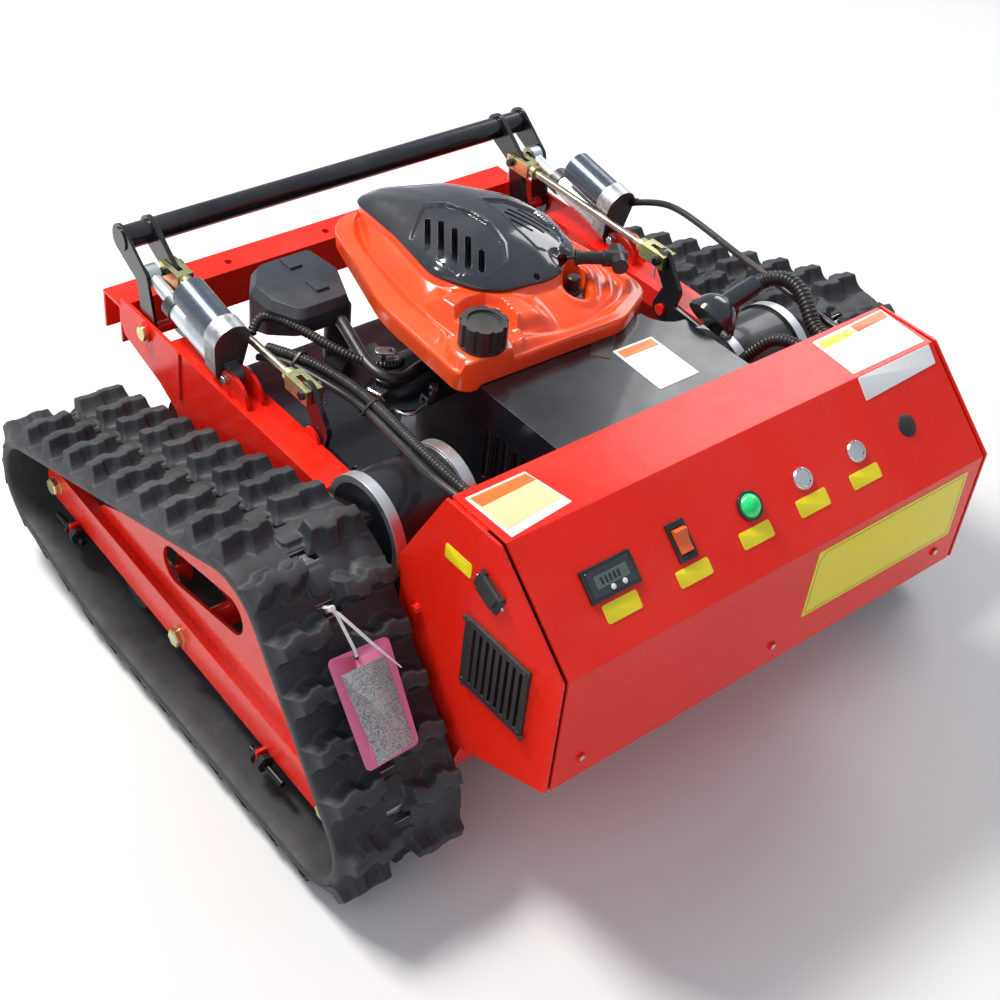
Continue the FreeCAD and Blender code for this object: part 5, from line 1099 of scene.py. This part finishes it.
CAP_RECESS = ((-170.0, -24.0), (-148.0, -19.0), (-131.0, -13.0), (-108.0, 3.0), (-89.0, 9.0), (-66.0, 7.0),
              (-56.0, -10.0), (-60.0, -34.0), (-70.0, -55.0), (-84.0, -88.0), (-100.0, -112.0), (-170.0, -112.0))
ARCH_FEET = (((-63.0, -42.0), (-88.0, -94.0)), ((-130.0, -11.0), (-154.0, -20.0)))
GRIP_WELL = (Vector((49.0, -6.0)), Vector((36.0, -26.0)))
SHOULDER_LINE = ((98.0, 44.0), (97.0, 8.0), (90.0, -24.0), (70.0, -46.0), (34.0, -57.0), (-10.0, -60.0))


def shroud_height(x, y, share):
    """Height of the skin: share runs from the cover's edge to the dome's foot as 0 to 1 and to the crease as 2."""
    point = Vector((x, y))
    if share < 1:
        wall = ease(share, 0.0, 0.16) * 7.0
        slope = (share ** 1.5) * 19.0
        height = COVER_EDGE - wall - slope
    else:
        height = DOME_FOOT + 5.6 * ease(share, 1.06, 1.42) - 2.2 * ease(share, 1.5, 1.94)
    right = ease(x, 20.0, 80.0)
    if share > 0.55 and right > 0:
        gap = min(from_line(point, Vector(a), Vector(b)) for a, b in zip(SHOULDER_LINE, SHOULDER_LINE[1:]))
        height += right * 3.4 * (1 - ease(gap, 1.5, 8.0))
    gap = from_line(point, TANK, TANK_BACK)
    toward = (point - TANK_BACK).normalized().dot(COVER_WAY)
    raised = (1 - ease(gap, 60.0, 92.0)) * ease(toward, 0.0, 0.5) * (1 - ease(share, 0.8, 1.15))
    height += (CAP_SHOULDER - height) * raised
    near = ease(-y, 20.0, 60.0) * ease(-x, 10.0, 80.0)
    height += (max(height, TANK_CORNER - 10.0 * ease(share, 1.35, 1.95)) - height) * near
    depth = depth_inside(point, CAP_RECESS)
    if depth > 0:
        from_cap = (point - TANK).length
        floor = TANK_CORNER + 5.3 * (1 - ease(from_cap, 28.0, 37.0))
        sunk = floor if from_cap < 34.0 else min(height, floor)
        height += (sunk - height) * ease(depth, 0.0, 4.2)
    foot = min(from_line(point, Vector(a), Vector(b)) for a, b in ARCH_FEET)
    height += 3.2 * (1 - ease(foot, 1.0, 5.0)) * (1 - ease(share, 1.55, 1.85))
    hole = from_line(point, *GRIP_WELL)
    height += (1 - ease(abs(hole - 21.0), 1.0, 7.0)) * 2.6 * ease(share, 0.1, 0.4)
    return height + (WELL_FLOOR - height) * (1 - ease(hole, 12.4, 15.0))


def round_hub(hub, radii, heights):
    """A closed ring of points round a hub."""
    if isinstance(heights, float):
        heights = [heights] * len(WAYS)
    return [(hub[0] + c * r, hub[1] + s * r, z) for (c, s), r, z in zip(WAYS, radii, heights)]


def engine_shroud():
    hub = (-2.0, 84.0)
    cover = reaches(plan_line(COVER_PLAN, DOME_MIDDLE, DOME_HALVES, 0.985), hub)
    foot = reaches(plan_line(FOOT_PLAN, DOME_MIDDLE, DOME_HALVES, 0.97), hub)
    crease = reaches(plan_line(TRAY_PLAN, TRAY_MIDDLE, TRAY_HALVES), hub)
    rings = [round_hub(hub, [r - inset for r in cover], z) for inset, z in ((5.0, 429.0), (3.0, 436.6))]
    shares = [0.015 * k for k in range(14)] + [0.21 + 0.0325 * k for k in range(25)]
    shares += [1.01 + 0.03 * k for k in range(32)]
    for share in shares:
        radii = []
        for c, f, o in zip(cover, foot, crease):
            f = min(f, o - 8.0)
            radii.append(c + (f - c) * share if share < 1 else f + (o - f) * (share - 1) * 0.985)
        heights = [shroud_height(hub[0] + c * r, hub[1] + s * r, share) for (c, s), r in zip(WAYS, radii)]
        rings.append(round_hub(hub, radii, heights))
    brow = [p[2] for p in rings[-1]]
    for out, drop in ((0.55, 0.5), (0.16, 1.6), (0.0, 3.6)):
        rings.append(round_hub(hub, [r - out * 3 for r in crease], [z - drop for z in brow]))
    bottoms = []
    for (c, s), r in zip(WAYS, crease):
        x, y = hub[0] + c * r, hub[1] + s * r
        bottoms.append(GUARD_PASSAGE[2] if x > GUARD_PASSAGE[0] and y < GUARD_PASSAGE[1] else SHROUD_LOW)
    for k in (1, 2, 3):
        rings.append(round_hub(hub, [r * (1 - 0.012 * k / 3) for r in crease],
                               [(z - 3.6) + (b - z + 3.6) * k / 3 for z, b in zip(brow, bottoms)]))
    rings.append(round_hub(hub, [r * 0.985 - 2.5 for r in crease], bottoms))
    rings.append(round_hub(hub, [r * 0.985 - 3.2 for r in crease], 404.0))
    skin = smooth(outward(loft_rings("shroud_skin", rings)), 32.0)
    finished(skin, "shroud_skin", "mower_unit", SHROUD_RED, ["engine_shroud"])


COVER_SEAT = 440.2
CROWN = 26.4


def crown_height(share):
    return COVER_SEAT + CROWN * (1 - share ** 2.6) ** 0.85


LEAF = ((-42.0, 146.0), (-22.0, 132.0), (-10.0, 104.0), (-7.0, 78.0), (-16.0, 40.0), (-32.0, 16.0), (-58.0, 16.0),
        (-80.0, 38.0), (-86.0, 72.0), (-80.0, 118.0))
FIN_LEAF = ((20.0, 124.0), (48.0, 112.0), (66.0, 84.0), (70.0, 52.0), (58.0, 24.0), (36.0, 10.0), (18.0, 22.0),
            (16.0, 52.0), (20.0, 88.0))


def shroud_cover():
    hub = (-3.0, 92.0)
    rim = reaches(plan_line(COVER_PLAN, DOME_MIDDLE, DOME_HALVES), hub)
    rings = []
    for inset, z in ((3.0, 438.4), (0.8, 438.4), (0.0, 439.0), (0.2, 440.0)):
        rings.append(round_hub(hub, [r - inset for r in rim], z))
    seat, seat_end = GRIP_START - GRIP_WAY * 14.0, GRIP_START + GRIP_WAY * 30.0
    for k in range(64):
        share = 0.994 - 0.984 * (k / 63) ** 0.9
        ring = []
        for (c, s), r in zip(WAYS, rim):
            x, y = hub[0] + c * r * share, hub[1] + s * r * share
            point = Vector((x, y))
            z = crown_height(share)
            for leaf, sunk in ((LEAF, 3.2), (FIN_LEAF, 2.8)):
                depth = depth_inside(point, leaf)
                z += 0.7 * (1 - ease(abs(depth + 1.2), 0.6, 3.0)) - sunk * ease(depth, -0.6, 2.2)
            z -= 3.2 * (1 - ease(from_line(point, seat, seat_end), 11.0, 17.0))
            ring.append((x, y, max(z, 439.4)))
        rings.append(ring)
    shell = outward(loft_rings("shroud_cover", rings))
    cutters = []
    for middle, step, lengths, width, turn, low in (
            ((-56.5, 71.7), (3.9, -18.4), (48.6, 60.0, 54.0, 48.0, 30.0), 6.4, -37.0, 441.5),
            ((40.0, 68.0), (9.2, 3.4), (34.0, 52.0, 56.0, 40.0), 3.6, 20.0, 447.0)):
        for i, length in enumerate(lengths):
            at = Vector(middle) + Vector(step) * (i - (len(lengths) - 1) / 2)
            cutters.append(slot_cutter(at, length, width, math.radians(turn), low))
    cutters.append(slot_cutter(Vector((-7.0, -8.0)), 7.4, 7.2, 0.0, 439.8))
    cutters.append(slot_cutter(GRIP_START + GRIP_WAY * 12.0, 62.0, 25.0, GRIP_TURN - math.pi / 2, 438.0))
    smooth(cut(shell, joined(cutters)), 30.0)
    finished(shell, "vent_cover", "mower_unit", COVER_BLACK, ["shroud_cover"])


def slot_cutter(at, length, width, turn, low):
    """An upright prism with round ends, long along its own Y axis before it turns."""
    outline = []
    for end, first in ((1, 0.0), (-1, math.pi)):
        for k in range(9):
            a = first + math.pi * k / 8
            outline.append((width / 2 * math.cos(a), end * (length / 2 - width / 2) + width / 2 * math.sin(a)))
    c, s = math.cos(turn), math.sin(turn)
    rings = []
    for z in (low, 480.0):
        rings.append([(at.x + u * c - v * s, at.y + u * s + v * c, z) for u, v in outline])
    return outward(loft_rings("cutter", rings))


engine_shroud()
shroud_cover()


# ---- Plates and labels ----
PANEL_PLATES = (
    ("meter_plate", -208.8, 95.9, 42.0, 18.0), ("rocker_plate", -119.5, 99.2, 42.0, 16.5),
    ("lamp_plate", -33.3, 94.8, 42.0, 17.0), ("start_plate", 48.3, 92.7, 43.0, 18.0),
    ("power_plate", 126.4, 93.5, 43.0, 16.0))
BORDER = ((41.0, 247.0), (271.5, 245.2), (267.8, 327.0), (49.0, 327.0), (41.0, 318.0))
# Name, face, corners, finish, corner radius, lift over what lies below, body
LABELS = (
    ("flap_plate", LEFT_FACE, ((237.0, 366.0), (275.0, 366.0), (275.0, 383.0), (237.0, 383.0)), YELLOW, 2.5, 0.0,
     "chassis"),
    ("left_label", TOP_FACE, ((-284.0, -304.0), (-207.0, -296.0), (-216.0, -240.0), (-286.0, -240.0)), WHITE, 1.0, 0.0,
     "chassis"),
    ("left_label_sheet", TOP_FACE, ((-281.0, -294.0), (-211.0, -287.0), (-218.0, -243.0), (-283.0, -243.0)), CREAM, 0.8,
     0.3, "chassis"),
    ("left_label_band", TOP_FACE, ((-281.0, -258.0), (-215.0, -255.0), (-218.0, -243.0), (-283.0, -243.0)), BAND, 0.6,
     0.6, "chassis"),
    ("right_label", TOP_FACE, ((172.0, -302.0), (286.0, -302.0), (292.0, -236.0), (178.0, -239.0)), WHITE, 1.0, 0.0,
     "chassis"),
    ("right_label_band", TOP_FACE, ((236.0, -252.0), (288.0, -250.0), (290.0, -238.5), (236.0, -240.0)), BAND, 0.6, 0.3,
     "chassis"),
    ("right_label_patch", TOP_FACE, ((180.0, -254.0), (230.0, -253.0), (231.0, -242.0), (181.0, -243.0)), YELLOW, 0.6,
     0.3, "chassis"),
    ("right_label_fold", SLANT_FACE, ((170.0, -26.0), (284.0, -22.0), (286.0, -0.8), (172.0, -0.8)), WHITE, 1.0, 0.0,
     "chassis"),
    ("guard_label", GUARD_FACE, ((24.0, -104.0), (79.0, -105.5), (77.6, -181.0), (21.0, -181.0)), WHITE, 1.0, 0.0,
     "mower_unit"),
    ("guard_label_band", GUARD_FACE, ((27.0, -107.0), (76.0, -108.5), (75.6, -121.0), (26.4, -120.0)), BAND, 0.6, 0.3,
     "mower_unit"))


def plates():
    for name, x, down, width, height in PANEL_PLATES:
        plate(name, SLANT_FACE, oblong(x, -down, width, height), YELLOW)
    plate("long_plate", FRONT_FACE, ((37.0, 243.0), (276.0, 241.0), (272.0, 331.0), (37.0, 331.0)), YELLOW, 1.5)
    for i, start in enumerate(BORDER):
        start, end = Vector(start), Vector(BORDER[(i + 1) % len(BORDER)])
        way = (end - start).normalized()
        side = Vector((-way.y, way.x)) * 0.35
        border = slab("plate_line_%d" % i, FRONT_FACE, (start - side, end - side, end + side, start + side), 0.1,
                      ((0.5, 0.0), (0.68, 0.0)))
        finished(border, "plate_line_%d" % i, "chassis", FINE_PLASTIC)
    for label in LABELS:
        plate(*label)


# ---- Control panel ----
def meter_display():
    x, v = -208.7, -67.0
    glass = slab("meter_glass", SLANT_FACE, oblong(x, v, 52.0, 25.0), 1.2, ((3.0, 0.0), (3.5, 0.3)))
    finished(glass, "meter_glass", "chassis", COVER_BLACK)
    window = slab("meter_window", SLANT_FACE, oblong(x + 1.0, v + 0.6, 39.0, 12.0), 0.6, ((3.45, 0.0), (3.7, 0.2)))
    finished(window, "meter_window", "chassis", DISPLAY)
    for i in range(5):
        bar = slab("meter_bar_%d" % i, SLANT_FACE, oblong(x - 11.0 + i * 5.0, v + 0.6, 3.0, 7.0), 0.4,
                   ((3.65, 0.0), (3.8, 0.1)))
        finished(bar, "meter_bar_%d" % i, "chassis", FINE_PLASTIC)
    for i, dx in enumerate((-2.0, 12.0)):
        key = turned("meter_key_%d" % i, SLANT_FACE, x + dx, v - 8.6, ((3.4, 2.7), (3.9, 2.7), (4.1, 2.3)))
        finished(key, "meter_key_%d" % i, "chassis", WHITE)


def fasteners():
    for side, sign in RIGHT_LEFT:
        beam = Face((sign * BEAM_FACE, 0.0, 0.0), (0, sign, 0), (0, 0, 1))
        for i, ((y, z), turn) in enumerate(zip(AXLE_BOLTS, (0.2, 0.7, 0.45))):
            hex_bolt("axle_bolt_%d_%s" % (i, side), beam, sign * y, z, 19.0, 7.6, YELLOW_ZINC, "chassis", True, turn)
        end_y, end_z = AXLE_BOLTS[-1]
        for i, y in enumerate((262.0, -128.0)):
            z = end_z + (y - end_y) * BEAM_SLOPE - EAR_BOTTOM
            for k, (dy, height) in enumerate(((4.6, 5.0), (-9.6, 9.0))):
                nut = Face((sign * 427.0, y + dy, z), (0, 0, 1), (1, 0, 0))
                hex_bolt("tension_nut_%d_%d_%s" % (i, k, side), nut, 0.0, 0.0, 18.0, height, BLACK_SATIN, "chassis",
                         False, 0.3 + k)
        web = Face((sign * 300.0, 0.0, 0.0), (0, sign, 0), (0, 0, 1))
        pin = turned("arm_pin_" + side, web, sign * 311.0, 290.0, ((-2.0, 9.0), (3.2, 9.0), (4.4, 8.0)))
        finished(pin, "arm_pin_" + side, "chassis", YELLOW_ZINC)
    for x in (-259.0, 0.0, 259.0):
        pan_screw("panel_screw_%d" % x, FRONT_FACE, x, 223.0, 4.6, ZINC)
    for i, (y, z) in enumerate(((-284.0, 377.0), (-320.0, 365.0))):
        pan_screw("flap_screw_%d" % i, LEFT_FACE, -y, z, 2.4, ZINC)
    # Painted shade: a small raised black disc stands for the shade inside each of four dents round the start and power
    # buttons.
    for i, (u, v) in enumerate(((-4.6, -10.3), (4.6, 10.3), (10.3, -4.6), (-10.3, 4.6))):
        for x, name in ((44.0, "start"), (124.0, "power")):
            dent_shade = turned("%s_dent_%d" % (name, i), SLANT_FACE, x + u, -67.0 + v, ((2.5, 0.9), (2.9, 0.8)), 12)
            finished(dent_shade, "%s_dent_%d" % (name, i), "chassis", FINE_PLASTIC)


SPLIT_PIN = ((0.0, 3.0, 359.5), (0.0, 1.0, 361.5), (0.0, -1.0, 359.5), (0.0, 0.0, 352.0), (-1.5, -2.0, 345.0),
             (-4.5, -5.0, 336.0), (-5.0, -5.5, 334.5))


def link_hardware():
    """Bolts and washers through the actuator lugs, split pins on the tie rod's pins, and the box's own screws."""
    for side, sign in RIGHT_LEFT:
        for x, way, name in ((291.4, 1, "outer"), (268.6, -1, "inner")):
            ear = Face((sign * x, 0.0, 0.0), (0, sign * way, 0), (0, 0, 1))
            across, height = (9.0, 4.2) if way > 0 else (10.0, 5.5)
            hex_bolt("lug_bolt_%s_%s" % (name, side), ear, sign * way * LUG_PIN[0], LUG_PIN[1], across, height, ZINC,
                     "chassis", True, 0.4)
        for i, y in enumerate((324.0, 49.0)):
            places = [(sign * (241.4 + dx), y + dy, z) for dx, dy, z in SPLIT_PIN]
            wire("split_pin_%d_%s" % (i, side), places, 1.1, ZINC)
    for i, (y, z) in enumerate(((-278.0, 323.0), (-368.0, 326.0), (-370.0, 243.0), (-284.0, 241.0))):
        pan_screw("grille_screw_%d" % i, Face((-304.0, 0, 0), (0, -1, 0), (0, 0, 1)), -y, z, 2.8, PLASTIC)
    hex_bolt("box_bolt", LEFT_FACE, 205.0, 274.4, 9.0, 4.0, RED, "chassis", True, 0.2)
    plate("guard_tab", GUARD_FACE, ((24.0, -71.0), (48.0, -83.0), (13.0, -113.0), (-1.0, -96.0)), FINE_PLASTIC, 1.5,
          body="mower_unit")


# ---- Starter well, and the governor bits below the shroud's left edge ----
def starter_well():
    across = (GRIP_WELL[1] - GRIP_WELL[0]).normalized()
    middle = (GRIP_WELL[0] + GRIP_WELL[1]) / 2
    floor = Face((middle.x, middle.y, WELL_FLOOR + 0.4), (across.y, -across.x, 0), (across.x, across.y, 0))
    lining = slab("starter_well", floor, oblong(0, 0, 24.0, 47.0), 11.9, ((0.0, 0.0), (1.2, 0.0)))
    finished(lining, "starter_well", "mower_unit", BLACK_SATIN)
    eye = turned("starter_eye", floor, 0.0, -6.0, ((0.8, 9.5), (3.0, 9.0), (4.0, 6.5), (15.0, 6.0), (16.0, 7.5),
                                                   (19.0, 7.5), (20.0, 6.0)))
    finished(eye, "starter_eye", "mower_unit", FINE_PLASTIC)
    # The pull cord lies inside the guide and the grip's neck at rest and is drawn out between them.
    places = [GRIP_FOOT + GRIP_AXIS * k for k in range(-9, 13)]
    pull = tube_along("starter_cord", places, lambda walked: 1.8, 10, (0.3, 0.2, 1))
    finished(pull, "starter_cord", None, FINE_PLASTIC)
    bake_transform(pull)


def governor():
    bed = Face((0.0, 0.0, 316.0), (1, 0, 0), (0, 1, 0))
    shelf = slab("governor_shelf", bed, [(-68.0, 8.0), (-150.0, 2.0), (-180.0, 20.0), (-182.0, 58.0), (-146.0, 82.0),
                                         (-68.0, 86.0)], 7.0, ((0.0, 0.3), (0.4, 0.0), (2.8, 0.0), (3.2, 0.3)))
    finished(shelf, "governor_shelf", "mower_unit", BLACK_SATIN)
    upright = Face((-179.0, 34.0, 318.0), (0.25, -0.968, 0), (0, 0, 1))
    parts = [slab("bracket", upright, [(-13, 0), (13, 0), (13, 12), (6, 15), (-13, 15)], 1.4,
                  ((0, 0.2), (0.3, 0), (2.2, 0)))]
    flange = Face((-179.0, 34.0, 331.0), (0.25, -0.968, 0), (0.968, 0.25, 0))
    parts.append(slab("flange", flange, [(-13, 0), (7, 0), (7, 14), (-13, 18)], 1.4, ((0, 0), (2, 0), (2.2, 0.2))))
    finished(smooth(joined(parts), 30.0), "governor_bracket", "mower_unit", ZINC)
    post = turned("lever_post", bed, -148.0, 66.0, ((2.0, 3.0), (40.0, 3.0)), 20)
    head = Face((-148.0, 66.0, 355.0), (0.8, -0.6, 0), (0.6, 0.8, 0))
    lever = slab("lever_plate", head, oblong(3, 0, 24, 13), 5.0, ((0, 0.2), (0.3, 0), (2.2, 0), (2.5, 0.3)))
    cut(lever, turned("lever_hole", head, 8.0, 0.0, ((-5, 3.0), (7, 3.0)), 24))
    finished(smooth(joined([lever, post]), 30.0), "governor_lever", "mower_unit", WHITE_ZINC)
    hex_bolt("governor_screw", bed, -166.0, 50.0, 8.0, 7.0, YELLOW_ZINC, "mower_unit", True, 0.5)
    hex_bolt("shelf_bolt", bed, -112.0, 20.0, 10.0, 8.0, ZINC, "mower_unit", True, 0.1)
    wire("governor_rod", [(-171, 12, 318), (-171, 11, 322), (-172, 5, 323.5), (-169, -4, 324), (-160, -8, 324.5),
                          (-140, -3, 325), (-134, 3, 325), (-133, 14, 325), (-133, 15, 318)], 1.9, ZINC, "mower_unit")


# ---- Hang tag: a coloured card with a silver sheet, held by a white strap through the belt ----
TAG_FACE = Face((-411.8, -283.3, 183.2), (1, 0, 0), (0, 0.621, 0.784))


def hang_tag():
    card = slab("tag_card", TAG_FACE, [(0.9, -0.4), (62.4, 1.2), (69.1, 109.7), (0.5, 112.9)], 6.0,
                ((-0.3, 0.0), (0.5, 0.0)))
    cut(card, turned("tag_hole", TAG_FACE, 30.4, 104.0, ((-2.0, 2.6), (2.0, 2.6)), 24))
    finished(card, "tag_card", "chassis", TAG_PINK)
    plate("tag_sheet", TAG_FACE, [(14.3, 0.6), (57.6, 4.6), (58.3, 94.1), (8.8, 94.5)], TAG_SILVER, 0.8, 0.5)
    strap = [(22.0, 158.0, -14.0), (22.8, 157.0, -2.0), (25.0, 148.0, 3.0), (30.0, 112.0, 2.6), (30.4, 104.5, 1.4),
             (30.4, 103.0, -1.6)]
    tail = [(21.0, 157.0, 3.0), (27.0, 148.0, 5.0), (47.0, 112.0, 6.0), (69.3, 76.9, 4.0)]
    for name, path in (("tag_strap", strap), ("tag_tail", tail)):
        rings = []
        for i, (u, v, h) in enumerate(path):
            a, b = Vector(path[max(i - 1, 0)]), Vector(path[min(i + 1, len(path) - 1)])
            run = Vector((b.x - a.x, b.y - a.y))
            way = Vector((-run.y, run.x)).normalized() * (1.6 if i < len(path) - 1 else 0.7)
            rings.append([TAG_FACE.at(u + way.x * s, v + way.y * s, h + e)
                          for s, e in ((-1, -0.45), (1, -0.45), (1, 0.45), (-1, 0.45))])
        finished(smooth(outward(loft_rings(name, rings)), 30.0), name, "chassis", STRAP)
    lock = slab("tag_lock", TAG_FACE, oblong(22.0, 156.5, 6.4, 5.4), 1.4,
                ((-1.0, 0.4), (-0.4, 0.0), (4.6, 0.0), (5.2, 0.5)))
    finished(lock, "tag_lock", "chassis", STRAP)


cables()
plates()
meter_display()
fasteners()
link_hardware()
starter_well()
governor()
hang_tag()


# ---- Floor, light and camera ----
LAMPS = (
    ("key_light", (-0.9, 1.4, 2.7), 0.9, 104.0, (1.0, 0.97, 0.92)),
    ("fill_light", (-2.3, -1.0, 2.0), 2.2, 8.0, (0.94, 0.97, 1.0)),
    ("rim_light", (2.3, 0.8, 1.9), 1.6, 26.0, (1.0, 1.0, 1.0)))
CAMERA_PLACE = (-1.036768, -1.068830, 1.362456)
CAMERA_ANGLES = (-43.777, 39.731, 7.069)
CAMERA_LENS = 58.77


def place_in_scene(name, data):
    thing = bpy.data.objects.new(name, data)
    bpy.context.scene.collection.objects.link(thing)
    return thing


def pale_floor():
    clear()
    bpy.ops.mesh.primitive_plane_add(size=14.0, location=(0, 0, -0.0005))
    floor = bpy.context.active_object
    floor.name = "floor"
    ground = Finish("pale_floor", roughness=0.75)
    patches = ground.ramp(ground.noise(1.2), 0.3, 0.7)
    ground.set("Base Color", ground.mix(patches, (0.74, 0.74, 0.73), (0.78, 0.78, 0.77)))
    coat(floor, ground.material)


def lighting():
    world = bpy.data.worlds.new("studio")
    world.use_nodes = True
    color, strength = world.node_tree.nodes["Background"].inputs[:2]
    color.default_value = (0.84, 0.90, 1.0, 1.0)
    strength.default_value = 0.54
    bpy.context.scene.world = world
    for name, at, size, power, color in LAMPS:
        data = bpy.data.lights.new(name, "AREA")
        data.shape = "RECTANGLE"
        data.size = size
        data.size_y = size * 0.7
        data.energy = power
        data.color = color
        lamp = place_in_scene(name, data)
        lamp.location = at
        lamp.rotation_euler = (Vector((0, 0, 0.2)) - Vector(at)).to_track_quat("-Z", "Y").to_euler()


def photo_camera():
    azimuth, elevation, roll = (math.radians(v) for v in CAMERA_ANGLES)
    back = Vector((math.sin(azimuth) * math.cos(elevation), -math.cos(azimuth) * math.cos(elevation),
                   math.sin(elevation)))
    right = Vector((0, 0, 1)).cross(back).normalized()
    up = back.cross(right)
    side = right * math.cos(roll) + up * math.sin(roll)
    top = up * math.cos(roll) - right * math.sin(roll)
    data = bpy.data.cameras.new("photo_camera")
    data.lens = CAMERA_LENS
    data.sensor_width = 36.0
    camera = place_in_scene("photo_camera", data)
    pose = Matrix((side, top, back)).transposed().to_4x4()
    pose.translation = CAMERA_PLACE
    camera.matrix_world = pose
    bpy.context.scene.camera = camera


pale_floor()
lighting()
bpy.context.scene.view_settings.view_transform = "Standard"
photo_camera()
